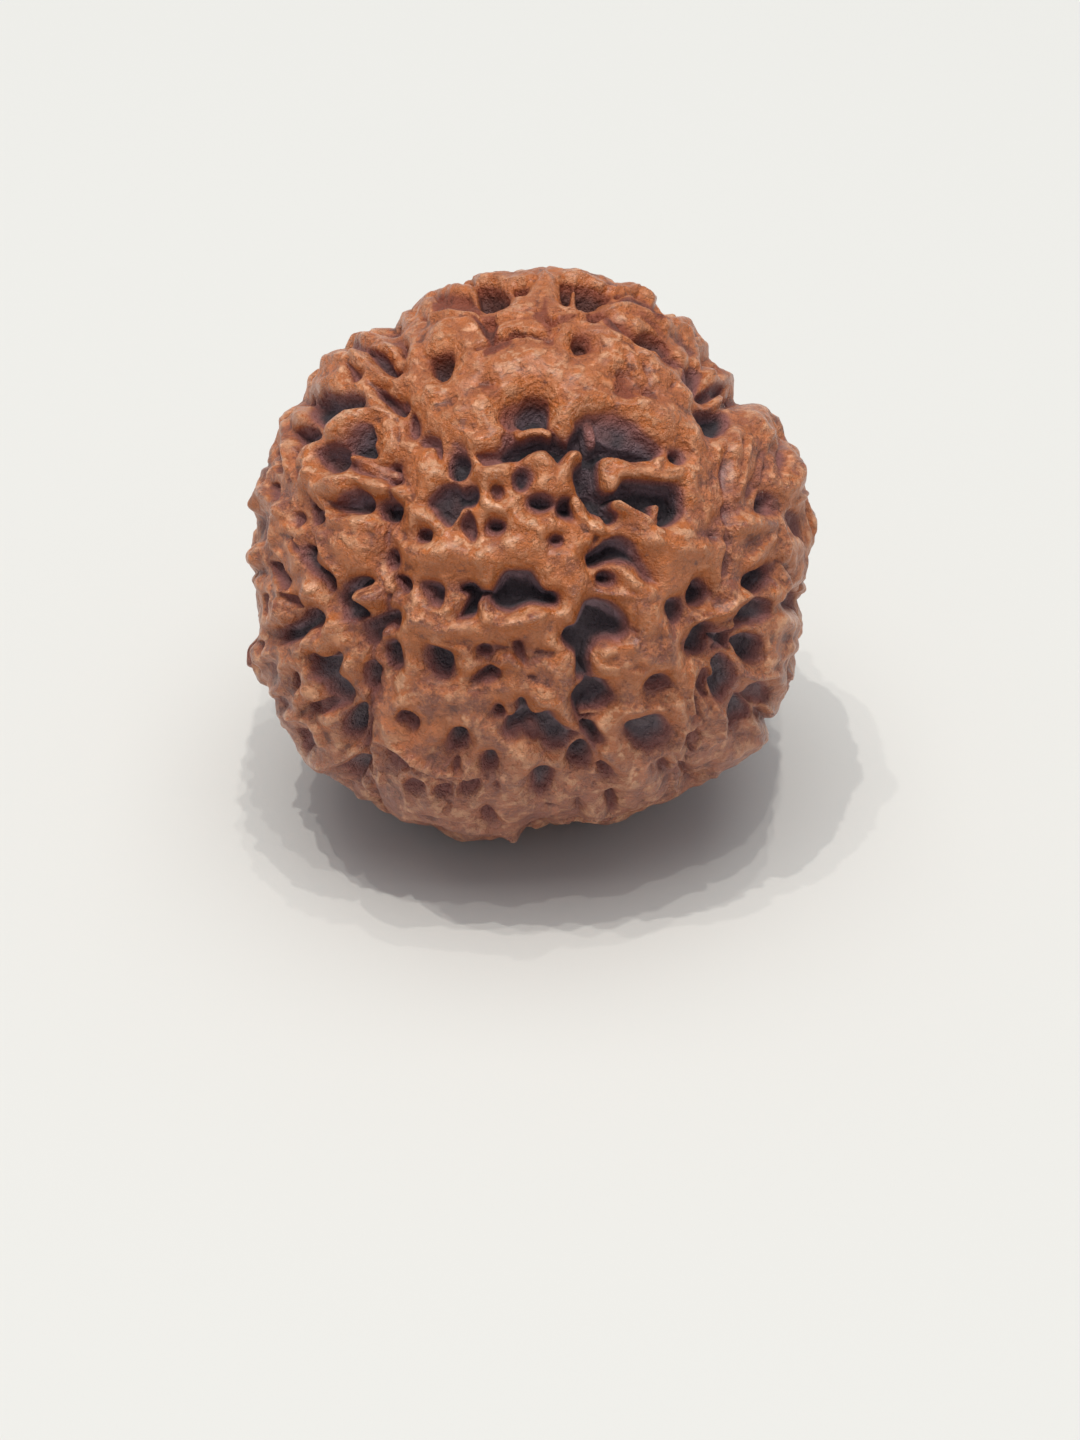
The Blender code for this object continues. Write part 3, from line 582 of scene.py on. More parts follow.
# Crests of the tops: the pixels along them, half width in pixels, height in mm
crests = [
    # crown
    ([(440, 291), (470, 289)], 11, 0.12), ([(486, 277), (510, 279)], 10, 0.08),
    ([(528, 280), (560, 277)], 10, 0.1), ([(545, 280), (546, 302)], 7, 0.18),
    ([(430, 317), (470, 315), (505, 313), (530, 315)], 3.5, 0.24), ([(541, 318), (546, 328)], 2.5, 0.15),
    ([(586, 332), (605, 335), (622, 345), (632, 358), (637, 371)], 3.0, 0.16),
    ([(436, 297), (456, 296), (474, 297)], 3.0, 0.12), ([(500, 334), (520, 326), (536, 330)], 6, 0.08),
    ([(430, 347), (436, 334), (450, 326), (468, 324), (482, 332), (486, 345), (479, 356)], 6, 0.16),
    ([(448, 348), (470, 346)], 22, 0.15), ([(502, 331), (528, 329)], 10, 0.14),
    ([(500, 362), (530, 352), (560, 362)], 12, 0.14), ([(575, 278), (608, 286)], 9, 0.1),
    ([(614, 293), (640, 294), (656, 303)], 8, 0.14),
    ([(560, 316), (580, 314), (602, 309), (628, 308), (648, 319), (668, 329)], 4.5, 0.26),
    ([(606, 318), (635, 327), (660, 336), (680, 350), (688, 364)], 8, 0.25),
    ([(566, 333), (600, 334), (625, 347), (648, 362), (668, 376), (688, 396)], 9, 0.2),
    ([(668, 322), (688, 326), (702, 342)], 8, 0.25), ([(700, 352), (704, 370), (702, 385)], 4, 0.2),
    ([(712, 370), (725, 380)], 9, 0.25), ([(405, 395), (420, 378), (430, 392)], 9, 0.12),
    ([(407, 335), (412, 350), (410, 372)], 8, 0.15),
    # left of the crown
    ([(350, 336), (366, 336)], 7, 0.15), ([(372, 346), (380, 340), (388, 346)], 7, 0.25),
    ([(357, 356), (368, 362), (378, 372), (390, 376), (400, 373)], 6, 0.25),
    ([(328, 364), (345, 358)], 8, 0.2), ([(322, 386), (340, 389), (355, 386)], 8, 0.2),
    ([(364, 389), (373, 396)], 5, 0.2), ([(385, 386), (396, 379)], 5, 0.15),
    # upper middle
    ([(450, 418), (480, 410)], 12, 0.15), ([(452, 428), (472, 440), (490, 440), (502, 428)], 7, 0.15),
    ([(420, 462), (428, 480), (424, 492)], 10, 0.18), ([(400, 440), (410, 450)], 8, 0.12),
    ([(478, 471), (492, 474), (506, 474)], 8, 0.2),
    ([(484, 500), (490, 508), (505, 511), (514, 500)], 6, 0.14),
    ([(522, 472), (528, 462), (541, 457), (552, 467)], 7, 0.2), ([(565, 470), (575, 452)], 7, 0.2),
    ([(545, 488), (560, 494), (571, 488)], 7, 0.12), ([(518, 522), (540, 530)], 10, 0.15),
    ([(402, 506), (425, 516), (446, 530)], 6, 0.16), ([(452, 527), (460, 516), (466, 508)], 3, 0.15),
    ([(645, 416), (665, 422)], 13, 0.14), ([(565, 522), (585, 519)], 8, 0.12),
    ([(618, 503), (640, 520), (656, 540)], 6, 0.15), ([(690, 425), (700, 440), (712, 452)], 9, 0.12),
    ([(684, 458), (695, 470), (690, 490)], 10, 0.12), ([(580, 398), (610, 402), (640, 408)], 7, 0.12),
    ([(655, 540), (672, 534), (690, 540)], 10, 0.14),
    # upper right
    ([(732, 412), (737, 430), (736, 448)], 8, 0.22), ([(752, 416), (758, 427), (764, 434)], 7, 0.12),
    ([(742, 455), (738, 480), (734, 500)], 6, 0.15), ([(762, 415), (775, 425)], 8, 0.15),
    ([(751, 438), (749, 462), (745, 478), (741, 496)], 3.5, 0.2),
    ([(767, 438), (766, 455), (764, 480)], 3.5, 0.2), ([(782, 455), (786, 470), (784, 488)], 10, 0.3),
    ([(801, 482), (803, 495), (795, 505)], 4, 0.18), ([(738, 527), (755, 523), (772, 520)], 9, 0.25),
    ([(701, 358), (703, 368), (702, 378)], 3.5, 0.2),
    ([(779, 514), (783, 527), (785, 545), (784, 575), (786, 588), (780, 600)], 3.5, 0.22),
    ([(752, 566), (760, 551), (771, 538)], 5, 0.18), ([(705, 402), (715, 403), (724, 397)], 4, 0.15),
    # left
    ([(292, 420), (312, 410)], 8, 0.15), ([(335, 438), (346, 426), (360, 422)], 11, 0.3),
    ([(331, 438), (338, 424), (348, 416), (365, 412), (378, 408)], 4, 0.22),
    ([(368, 396), (374, 396)], 6, 0.25), ([(376, 404), (388, 409)], 6, 0.25),
    ([(388, 422), (390, 445)], 9, 0.22), ([(305, 462), (312, 450), (326, 446)], 8, 0.25),
    ([(305, 481), (316, 473), (322, 478)], 7, 0.25), ([(324, 489), (335, 484), (345, 492)], 10, 0.3),
    ([(346, 482), (358, 480), (370, 487)], 6, 0.25), ([(372, 484), (382, 484), (398, 493)], 6, 0.25),
    ([(319, 484), (321, 496), (327, 506), (332, 516)], 3.5, 0.22),
    ([(338, 521), (350, 520), (370, 523)], 8, 0.25),
    ([(284, 420), (286, 445), (289, 462), (294, 478)], 4, 0.22),
    ([(262, 490), (275, 500), (282, 512)], 9, 0.3), ([(275, 518), (276, 542)], 4, 0.22),
    ([(290, 526), (300, 533)], 8, 0.2), ([(312, 512), (313, 530)], 5, 0.2),
    ([(350, 457), (364, 461)], 3.5, 0.15), ([(330, 540), (350, 548), (365, 545)], 12, 0.15),
    ([(323, 530), (325, 550), (330, 562), (338, 572), (341, 588)], 4, 0.2),
    ([(296, 545), (305, 560), (312, 576), (312, 595)], 8, 0.26),
    ([(275, 548), (283, 560), (284, 578)], 4, 0.16), ([(268, 562), (277, 578), (285, 592)], 6, 0.22),
    ([(262, 580), (267, 600), (270, 622)], 6, 0.22), ([(281, 600), (284, 620), (282, 640)], 4, 0.18),
    ([(357, 595), (368, 597), (378, 601)], 8, 0.3),
    ([(330, 629), (338, 622), (350, 622), (362, 631)], 8, 0.25),
    ([(352, 642), (363, 650), (360, 665)], 8, 0.16), ([(308, 642), (315, 636), (324, 640)], 7, 0.24),
    ([(270, 652), (285, 645), (300, 651)], 6, 0.18), ([(252, 648), (255, 660)], 7, 0.25),
    ([(280, 669), (290, 660), (300, 663)], 5, 0.16), ([(308, 671), (318, 680)], 6, 0.22),
    ([(345, 666), (352, 676), (360, 686)], 7, 0.22), ([(376, 636), (378, 655), (379, 672)], 4, 0.2),
    ([(380, 577), (384, 590), (378, 602)], 5, 0.16),
    ([(276, 690), (279, 711), (292, 716), (308, 721), (318, 730), (323, 742)], 4, 0.25),
    ([(296, 690), (298, 710)], 3.5, 0.16), ([(308, 690), (318, 700)], 6, 0.15),
    ([(320, 714), (335, 725), (337, 742)], 8, 0.2),
    ([(322, 762), (340, 764), (352, 755), (362, 754)], 5, 0.25),
    ([(302, 747), (314, 760), (325, 766)], 5, 0.2), ([(367, 772), (363, 787)], 3.5, 0.16),
    ([(353, 690), (361, 700), (366, 715)], 5, 0.2),
    # middle
    ([(402, 546), (425, 552), (450, 552), (478, 558)], 12, 0.2),
    ([(498, 545), (520, 542), (540, 545)], 10, 0.12), ([(425, 609), (435, 612), (446, 610)], 6, 0.14),
    ([(485, 598), (486, 618)], 6, 0.14), ([(500, 624), (520, 621), (535, 616), (549, 612)], 6, 0.24),
    ([(400, 629), (420, 622), (445, 630), (465, 625)], 8, 0.16),
    ([(430, 645), (452, 650), (466, 656)], 4, 0.12), ([(498, 668), (508, 658), (519, 668)], 7, 0.22),
    ([(484, 691), (500, 692), (509, 684)], 8, 0.16), ([(560, 548), (574, 565), (577, 590)], 10, 0.12),
    ([(645, 541), (665, 545), (685, 552), (712, 546)], 8, 0.2),
    ([(622, 572), (630, 582), (650, 590)], 8, 0.25), ([(602, 593), (625, 595), (650, 598)], 5, 0.16),
    ([(642, 610), (648, 630)], 14, 0.15), ([(608, 656), (622, 648), (636, 645)], 7, 0.22),
    ([(666, 628), (671, 650)], 4, 0.14), ([(552, 646), (566, 652), (573, 666)], 8, 0.18),
    ([(540, 612), (560, 615)], 8, 0.1), ([(585, 520), (600, 530)], 5, 0.12),
    ([(650, 660), (675, 668), (690, 690)], 9, 0.1), ([(600, 665), (612, 672), (640, 672)], 8, 0.12),
    # right
    ([(690, 548), (712, 551), (724, 546)], 8, 0.15), ([(720, 560), (728, 580), (738, 596)], 8, 0.14),
    ([(703, 621), (715, 617), (729, 613), (738, 602), (750, 595)], 4, 0.2),
    ([(772, 578), (778, 590), (774, 602)], 7, 0.2), ([(768, 616), (780, 615), (790, 622)], 9, 0.16),
    ([(728, 648), (730, 636), (740, 628), (754, 628), (763, 636)], 4, 0.24),
    ([(764, 640), (772, 655), (766, 668)], 7, 0.14),
    ([(792, 645), (786, 651), (780, 664), (778, 682)], 4, 0.16),
    ([(744, 677), (765, 678), (779, 672)], 4.5, 0.22), ([(738, 667), (743, 676), (737, 688)], 5, 0.18),
    ([(697, 674), (695, 698), (698, 716)], 3.5, 0.2), ([(722, 710), (728, 722), (726, 736)], 4, 0.2),
    ([(708, 700), (712, 712), (706, 726), (696, 732)], 4, 0.16), ([(770, 690), (768, 711)], 4, 0.2),
    ([(752, 712), (757, 730)], 5, 0.16), ([(756, 738), (742, 748), (722, 760), (715, 775)], 4, 0.14),
    ([(684, 765), (692, 768), (700, 758), (704, 745)], 4, 0.16),
    # lower front
    ([(396, 712), (390, 725), (385, 738)], 10, 0.2),
    ([(372, 744), (385, 744), (400, 748), (415, 758)], 3.5, 0.22),
    ([(415, 758), (435, 774), (455, 779), (480, 779)], 3.5, 0.22),
    ([(392, 770), (400, 790), (405, 802)], 4, 0.16), ([(370, 766), (375, 790)], 4, 0.12),
    ([(400, 776), (412, 773), (425, 777)], 3.5, 0.16), ([(430, 780), (431, 797)], 3.5, 0.14),
    ([(456, 783), (455, 800)], 3.5, 0.14), ([(420, 735), (440, 745)], 8, 0.12),
    ([(430, 690), (450, 695), (470, 700)], 8, 0.1), ([(445, 770), (466, 772)], 5, 0.12),
    ([(430, 812), (460, 820), (490, 832), (515, 835)], 5, 0.16),
    ([(500, 742), (510, 753), (525, 760)], 8, 0.14), ([(540, 698), (560, 712), (574, 724)], 8, 0.18),
    ([(566, 752), (570, 742), (580, 738), (590, 744), (596, 756)], 4, 0.22),
    ([(602, 735), (612, 745), (606, 755)], 6, 0.14), ([(620, 715), (640, 714), (662, 711)], 4, 0.14),
    ([(680, 700), (685, 720), (690, 733)], 6, 0.12), ([(682, 756), (687, 745), (686, 735)], 3.5, 0.2),
    ([(678, 766), (682, 780), (678, 793)], 4, 0.18), ([(570, 795), (582, 785), (592, 778)], 4, 0.14),
    ([(538, 797), (550, 791), (562, 797)], 3.5, 0.14), ([(590, 816), (620, 824)], 8, 0.16),
    ([(625, 780), (645, 790), (660, 800)], 10, 0.12), ([(410, 806), (440, 806)], 8, 0.12),
]

crestShape = {
    "reach": 2.2,  # half widths
    "gain": 1.4,  # times the height that a crest is written with
}


def photoCrests(skin, raised):
    # in a power sum too, so crests that meet join smoothly
    high = np.zeros(len(raised))
    for line, half, height in crests:
        rows, apart = skin.beside(line, crestShape["reach"] * half, skin.tops)
        high[rows] += (crestShape["gain"] * height * bell(apart, half) * skin.seen[rows]) ** 3
    raised += np.cbrt(high) * mm


# Wide falls of the skin towards the grooves: the pixels along them, half width in pixels, depth in mm
falls = [
    ([(396, 335), (395, 420), (392, 480), (385, 560), (376, 640), (368, 720), (367, 790)], 28.0, 0.5),
    ([(700, 345), (722, 420), (727, 500), (722, 570), (708, 640), (700, 720), (684, 790)], 26.0, 0.42),
    ([(535, 400), (580, 450), (598, 545), (600, 640), (590, 720), (578, 790)], 26.0, 0.36),
    ([(470, 690), (600, 700)], 85.0, 0.4),
]


def photoFalls(skin, raised):
    sunk = np.zeros(len(raised))
    for line, half, deep in falls:
        rows, apart = skin.beside(line, seed["lineReach"] * half, skin.tops)
        sunk[rows] = np.maximum(sunk[rows], deep * bell(apart, half) * skin.seen[rows])
    raised -= sunk * mm


# Rounded swellings: middle x and y, half width and half height in pixels, turn in degrees, height in mm
swellings = [
    (348, 428, 28, 16, 30, 0.35), (337, 488, 20, 18, 0, 0.3), (358, 486, 11, 8, 0, 0.15),
    (388, 491, 20, 9, -20, 0.2), (315, 460, 15, 18, 0, 0.25), (304, 420, 18, 14, 30, 0.1),
    (338, 375, 34, 20, 30, 0.25), (378, 345, 18, 12, -10, 0.2), (312, 485, 14, 18, 0, 0.2),
    (296, 560, 16, 26, -10, 0.25), (312, 588, 18, 20, 0, 0.2), (350, 545, 30, 36, 0, 0.22),
    (285, 598, 12, 20, 0, 0.2), (256, 556, 16, 16, 0, 0.45), (257, 502, 13, 12, 0, 0.35),
    (255, 655, 15, 16, 0, 0.35), (336, 630, 16, 16, 0, 0.2), (316, 642, 16, 12, 0, 0.25),
    (366, 598, 16, 12, 0, 0.25), (356, 662, 14, 18, 0, 0.15), (318, 680, 16, 14, 0, 0.22),
    (333, 745, 24, 20, 0, 0.18), (455, 289, 24, 14, 0, 0.1), (495, 278, 26, 14, 0, 0.05),
    (640, 293, 34, 14, 20, 0.08), (700, 335, 26, 20, 45, 0.15), (768, 424, 28, 22, 30, 0.25),
    (790, 475, 18, 30, 0, 0.28), (736, 440, 18, 26, 0, 0.18), (756, 527, 26, 16, 0, 0.2),
    (810, 520, 14, 34, 0, 0.2), (655, 548, 38, 24, -20, 0.15), (728, 375, 20, 24, 0, 0.25),
    (430, 340, 34, 28, 0, 0.15), (530, 372, 60, 26, 0, 0.15), (400, 740, 30, 24, -30, 0.18),
    (560, 690, 34, 34, 0, 0.15), (480, 825, 60, 16, 0, 0.2), (605, 815, 26, 18, 0, 0.2),
    (640, 350, 40, 16, -25, 0.15), (600, 350, 34, 16, 0, 0.1), (470, 560, 60, 20, 0, 0.12),
    (520, 620, 46, 14, 0, 0.12), (655, 500, 40, 40, 0, 0.1), (665, 400, 50, 30, -20, 0.1),
    (760, 735, 22, 18, 0, 0.2), (552, 475, 24, 24, 0, 0.15), (489, 475, 18, 10, 0, 0.1),
    (760, 615, 26, 24, 0, 0.15), (440, 625, 40, 16, 0, 0.1), (660, 640, 26, 36, 0, 0.12),
]

swellingShape = {
    "reach": 1.6,  # half widths
    "side": (0.2, 1.35),  # half widths between which it falls away
}


def swell(skin, raised, direction, wide, tall, turn, high):
    # one rounded swelling about a direction
    rows = skin.cap(direction, swellingShape["reach"] * max(wide, tall) / photo["pixelsPerMm"] * mm)
    a, b = skin.local(rows, direction, tangentAxes(direction, turn))
    raised[rows] += high * mm * (1.0 - smooth(*swellingShape["side"], np.hypot(a / wide, b / tall)))


def photoSwellings(skin, raised):
    for x, y, wide, tall, turn, high in swellings:
        swell(skin, raised, onSeed(x, y), wide, tall, turn, high)


# Grooves of the sides and back that the photograph doesn't show: longitude in degrees at each latitude
grooveLatitudes = (-90, -20, 0, 20, 38, 52, 90)
hiddenGrooves = {
    "right": (72, 74, 78, 86, 94, 99, 101),
    "backRight": (114, 115, 118, 124, 129, 132, 134),
    "back": (157, 158, 160, 163, 166, 167, 168),
    "backLeft": (202, 202, 203, 205, 208, 210, 211),
    "leftBack": (247, 247, 246, 244, 242, 240, 238),
    "left": (287, 287, 286, 282, 275, 269, 266),
}

# Two numbers in brackets are the least and the most that is drawn
hiddenSide = {
    "edge": 0.20,  # cosine, from the camera's direction, past which the made-up skin starts
    "draw": 7,  # the seed of the random draws
    "tries": 4000,
    "cavities": 230,
    "lowest": -0.88,  # height on a ball of radius 1 below which there are no cavities
    "spacing": 1.42 * mm,
    "size": (13.0, 32.0),  # pixels
    "longer": (0.85, 1.5),  # times its size, the other way
    "depth": (0.15, 0.045, 1.3),  # mm: at size 0, more for each pixel of size, at most
    "mostlySmall": 1.5,  # the power that makes small cavities the more common
    "waves": ((0.05, 0.2), (0.03, 0.12)),  # share that two and three waves push the edge in and out by
    "phase": (0, 6.3),
    "turn": (0, 180),
    "reach": 0.8,  # times its size, and the shoulder, that a cavity takes up
    "chain": (66.0, -58.0),  # latitudes between which a chain of long pits runs down each groove
    "chainStart": (-4, 4),
    "chainStep": (9.0, 13.0),
    "chainWide": (14, 24),
    "chainTall": (26, 44),
    "chainDepth": (0.9, 1.2),
    "groove": (0.55, 0.22),  # depth and half width in mm
    "grooveSteps": (70.0, -62.0, -4.0),  # latitudes
    "grooveReach": 1.6 * mm,
    "grooveEdge": (-0.02, 0.1),  # past the edge, where it fades out
    "swellings": 200,
    "swellingEdge": -0.3,  # past the edge, so that none stands up behind the outline
    "swellingLowest": -0.9,
    "swellingSpacing": 1.35 * mm,
    "swellingSize": (13, 24),
    "swellingShape": (0.7, 1.2),  # height times its width
    "swellingHeight": (0.12, 0.36),
    "knobs": (1.3 * mm, 0.42 * mm, (6.2, 5.1, 0.8)),
    "knobEdge": (-0.55, -0.25),
}


def hiddenSpots(count, spacing, edge, lowest, draw):
    # directions out of the camera's sight and no nearer to each other than the spacing, in a fixed order
    kept = []
    for _ in range(hiddenSide["tries"]):
        direction = Vector((draw.gauss(0, 1), draw.gauss(0, 1), draw.gauss(0, 1))).normalized()
        if direction.dot(toLens) < edge and direction.z > lowest:
            if all((direction - other).length * seed["radius"] > spacing for other in kept):
                kept.append(direction)
        if len(kept) == count:
            break
    return kept


def grooveDirection(stations, latitude):
    longitude = math.radians(float(np.interp(latitude, grooveLatitudes, stations)))
    up = math.radians(latitude)
    return Vector((math.sin(longitude) * math.cos(up), -math.cos(longitude) * math.cos(up), math.sin(up)))


def chainPits(draw):
    # a chain of long pits down each groove
    side = hiddenSide
    spots = []
    for stations in hiddenGrooves.values():
        latitude = side["chain"][0] + draw.uniform(*side["chainStart"])
        while latitude > side["chain"][1]:
            direction = grooveDirection(stations, latitude)
            if direction.dot(toLens) < side["edge"] and direction.z > side["lowest"]:
                wide, tall = draw.uniform(*side["chainWide"]), draw.uniform(*side["chainTall"])
                spots.append((direction, wide, tall, 0.0, draw.uniform(*side["chainDepth"])))
            latitude -= draw.uniform(*side["chainStep"])
    return spots


def scatteredPits(draw):
    # mostly small, with some large
    side = hiddenSide
    least, most = side["size"]
    shallow, deeper, deepest = side["depth"]
    spots = []
    for direction in hiddenSpots(side["cavities"], side["spacing"], side["edge"], side["lowest"], draw):
        size = least + (most - least) * draw.random() ** side["mostlySmall"]
        deep = min(deeper * size + shallow, deepest)
        wide, turn = size * draw.uniform(*side["longer"]), draw.uniform(*side["turn"])
        spots.append((direction, wide, size, turn, deep))
    return spots


def hiddenCavities(skin, sunk):
    draw = random.Random(hiddenSide["draw"])
    spots = chainPits(draw)
    spots += scatteredPits(draw)
    for direction, wide, tall, turn, deep in spots:
        wobble = [(draw.uniform(*wave), draw.uniform(*hiddenSide["phase"])) for wave in hiddenSide["waves"]]
        curve = rounded(ovalOutline(wide, tall, turn, wobble))
        reach = hiddenSide["reach"] * max(wide, tall) + cavityShape["shoulder"]
        rows = skin.cap(direction, reach / photo["pixelsPerMm"] * mm)
        a, b = skin.local(rows, direction, tangentAxes(direction))
        sunk[rows] += cavityDepth(insideOutline(a, b, curve), deep) ** cavityShape["joining"]
    deep, half = hiddenSide["groove"]
    fadeFrom, fadeTo = (hiddenSide["edge"] + past for past in hiddenSide["grooveEdge"])
    for stations in hiddenGrooves.values():
        line = [grooveDirection(stations, latitude) for latitude in np.arange(*hiddenSide["grooveSteps"])]
        for start, end in zip(line[:-1], line[1:]):
            rows = skin.cap(start, hiddenSide["grooveReach"])
            span = np.array(end - start)
            away = skin.directions[rows] - np.array(start)
            t = np.clip(away @ span / (span @ span), 0.0, 1.0)
            apart = np.linalg.norm(away - t[:, None] * span, axis=1) * seed["radius"] / mm
            hidden = 1.0 - smooth(fadeFrom, fadeTo, skin.facing[rows])
            sunk[rows] += (deep * bell(apart, half) * hidden) ** cavityShape["joining"]


def hiddenSwellings(skin, raised):
    side = hiddenSide
    draw = random.Random(side["draw"] + 1)
    edge, lowest = side["edge"] + side["swellingEdge"], side["swellingLowest"]
    for direction in hiddenSpots(side["swellings"], side["swellingSpacing"], edge, lowest, draw):
        wide = draw.uniform(*side["swellingSize"])
        tall = wide * draw.uniform(*side["swellingShape"])
        turn, high = draw.uniform(*side["turn"]), draw.uniform(*side["swellingHeight"])
        swell(skin, raised, direction, wide, tall, turn, high)


def lumps(skin, size, high, shift):
    # gentle unevenness, with bumps about size apart
    points = skin.base / size + np.array(shift)
    return high * np.array([noise.noise(point) for point in points.tolist()])


def plateauRadius(skin):
    # the skin without its cavities
    raised = skin.growth.copy()
    photoFalls(skin, raised)
    photoSwellings(skin, raised)
    photoCrests(skin, raised)
    hiddenSwellings(skin, raised)
    fadeFrom, fadeTo = (hiddenSide["edge"] + past for past in hiddenSide["knobEdge"])
    raised += (1.0 - smooth(fadeFrom, fadeTo, skin.facing)) * lumps(skin, *hiddenSide["knobs"])
    return seed["radius"] + raised + lumps(skin, *seed["broadLumps"])


def skinRadius(skin):
    sunk = np.zeros(len(skin.directions))
    photoCavities(skin, sunk)
    hiddenCavities(skin, sunk)
    sunk = sunk ** (1.0 / cavityShape["joining"]) * mm
    photoRidges(skin, sunk)
    fine = lumps(skin, *seed["middleLumps"]) + lumps(skin, *seed["fineLumps"])
    return plateauRadius(skin) - sunk + fine


def meshFrom(name, block):
    mesh = bpy.data.meshes.new(name)
    block.to_mesh(mesh)
    block.free()
    return mesh


def placed(name, data):
    # a new object in the scene
    made = bpy.data.objects.new(name, data)
    bpy.context.scene.collection.objects.link(made)
    return made


def vertexArray(mesh):
    flat = np.empty(len(mesh.vertices) * 3)
    mesh.vertices.foreach_get("co", flat)
    return flat.reshape(-1, 3)


def applied(piece):
    # the piece with its modifiers turned into mesh
    graph = bpy.context.evaluated_depsgraph_get()
    mesh = bpy.data.meshes.new_from_object(piece.evaluated_get(graph))
    old = piece.data
    piece.modifiers.clear()
    piece.data = mesh
    bpy.data.meshes.remove(old)


def eased(points):
    # brought softly inside the seed's box, and flat where it rests
    ease = seed["ease"]
    for axis in (0, 1):
        past = np.maximum(np.abs(points[:, axis]) - seed["halfWidth"] + ease, 0.0)
        points[:, axis] -= np.sign(points[:, axis]) * (past - ease * np.tanh(past / ease))
    past = np.maximum(points[:, 2] - seed["height"] + ease, 0.0)
    points[:, 2] -= past - ease * np.tanh(past / ease)
    points[:, 2] = np.maximum(points[:, 2], 0.0)
    return points


def makeSeed():
    ball = bmesh.new()
    coarser = 0
    bmesh.ops.create_icosphere(ball, subdivisions=seed["fineness"] - coarser, radius=1.0)
    mesh = meshFrom("seedSkin", ball)
    skin = Skin(vertexArray(mesh))
    points = eased(np.array(seed["middle"]) + skin.directions * skinRadius(skin)[:, None])
    mesh.vertices.foreach_set("co", points.ravel())
    piece = placed("seedSkin", mesh)
    print("skin shaped")
    thin = piece.modifiers.new("fewer", "DECIMATE")
    thin.ratio = min(1.0, seed["triangles"] / len(piece.data.polygons))
    applied(piece)
    print("thinned", len(piece.data.polygons))
    points = vertexArray(piece.data)
    points[:, 2] = np.where(points[:, 2] < seed["grounded"], 0.0, points[:, 2])
    piece.data.vertices.foreach_set("co", points.ravel())
    piece.data.shade_smooth()
    return piece


def smoothed(values, edges, rounds):
    # each point's value averaged with its neighbours', over and over
    count = len(values)
    one, other = edges[:, 0], edges[:, 1]
    ends = np.bincount(edges.ravel(), minlength=count)
    for _ in range(rounds):
        total = np.bincount(one, values[other], count) + np.bincount(other, values[one], count)
        values = 0.5 * values + 0.5 * total / ends
    return values


# Darker skin that isn't a cavity, mostly painted shade where the skin falls away into shadow, and the stalk
# scar's own dark stain: the outline's pixels, then the depth in mm whose colour it takes
stainsAndShade = [
    ([(612, 300), (625, 298), (638, 299), (650, 304), (662, 314), (668, 324), (655, 324), (645, 315),
      (630, 308), (614, 306)], 0.85),
    ([(600, 321), (614, 324), (626, 331), (634, 341), (626, 343), (612, 334)], 0.85),
    ([(472, 317), (484, 320), (497, 320), (498, 330), (494, 342), (489, 344), (484, 334), (478, 326)], 0.9),
    ([(483, 358), (488, 348), (497, 343), (512, 339), (511, 344), (500, 351)], 0.8),
    ([(683, 370), (692, 367), (700, 372), (701, 388), (696, 397), (687, 388)], 0.7),
    ([(433, 301), (455, 299), (478, 300), (478, 310), (458, 312), (440, 316), (433, 312)], 0.62),
    ([(613, 378), (624, 376), (634, 386), (642, 396), (628, 399), (616, 391)], 0.5),
    ([(532, 312), (540, 308), (544, 299), (550, 302), (549, 313), (558, 318), (554, 325), (552, 335),
      (545, 334), (540, 326), (534, 319)], 0.5),
    ([(505, 318), (530, 317), (545, 317), (532, 321), (508, 323)], 0.45),
    ([(541, 342), (552, 338), (556, 346), (549, 350)], 0.5),
    ([(556, 317), (572, 316), (582, 318), (570, 322), (557, 323)], 0.5),
    ([(620, 311), (636, 313), (652, 322), (668, 333), (664, 336), (648, 326), (634, 317)], 0.45),
    ([(480, 384), (496, 384), (505, 392), (496, 400), (482, 397)], 0.4),
    ([(660, 352), (672, 354), (682, 366), (674, 370), (664, 362)], 0.55),
    ([(638, 430), (652, 436), (664, 449), (658, 456), (644, 446)], 0.35),
    ([(605, 541), (622, 537), (634, 545), (643, 566), (628, 564), (612, 560)], 0.75),
    ([(430, 505), (446, 496), (456, 500), (456, 516), (446, 524), (434, 516)], 0.8),
    ([(380, 520), (392, 522), (394, 545), (393, 572), (384, 572), (380, 548)], 0.3),
    ([(366, 640), (378, 645), (378, 680), (374, 715), (364, 735), (362, 690)], 0.35),
    ([(732, 482), (742, 480), (746, 500), (742, 518), (733, 512)], 0.3),
]

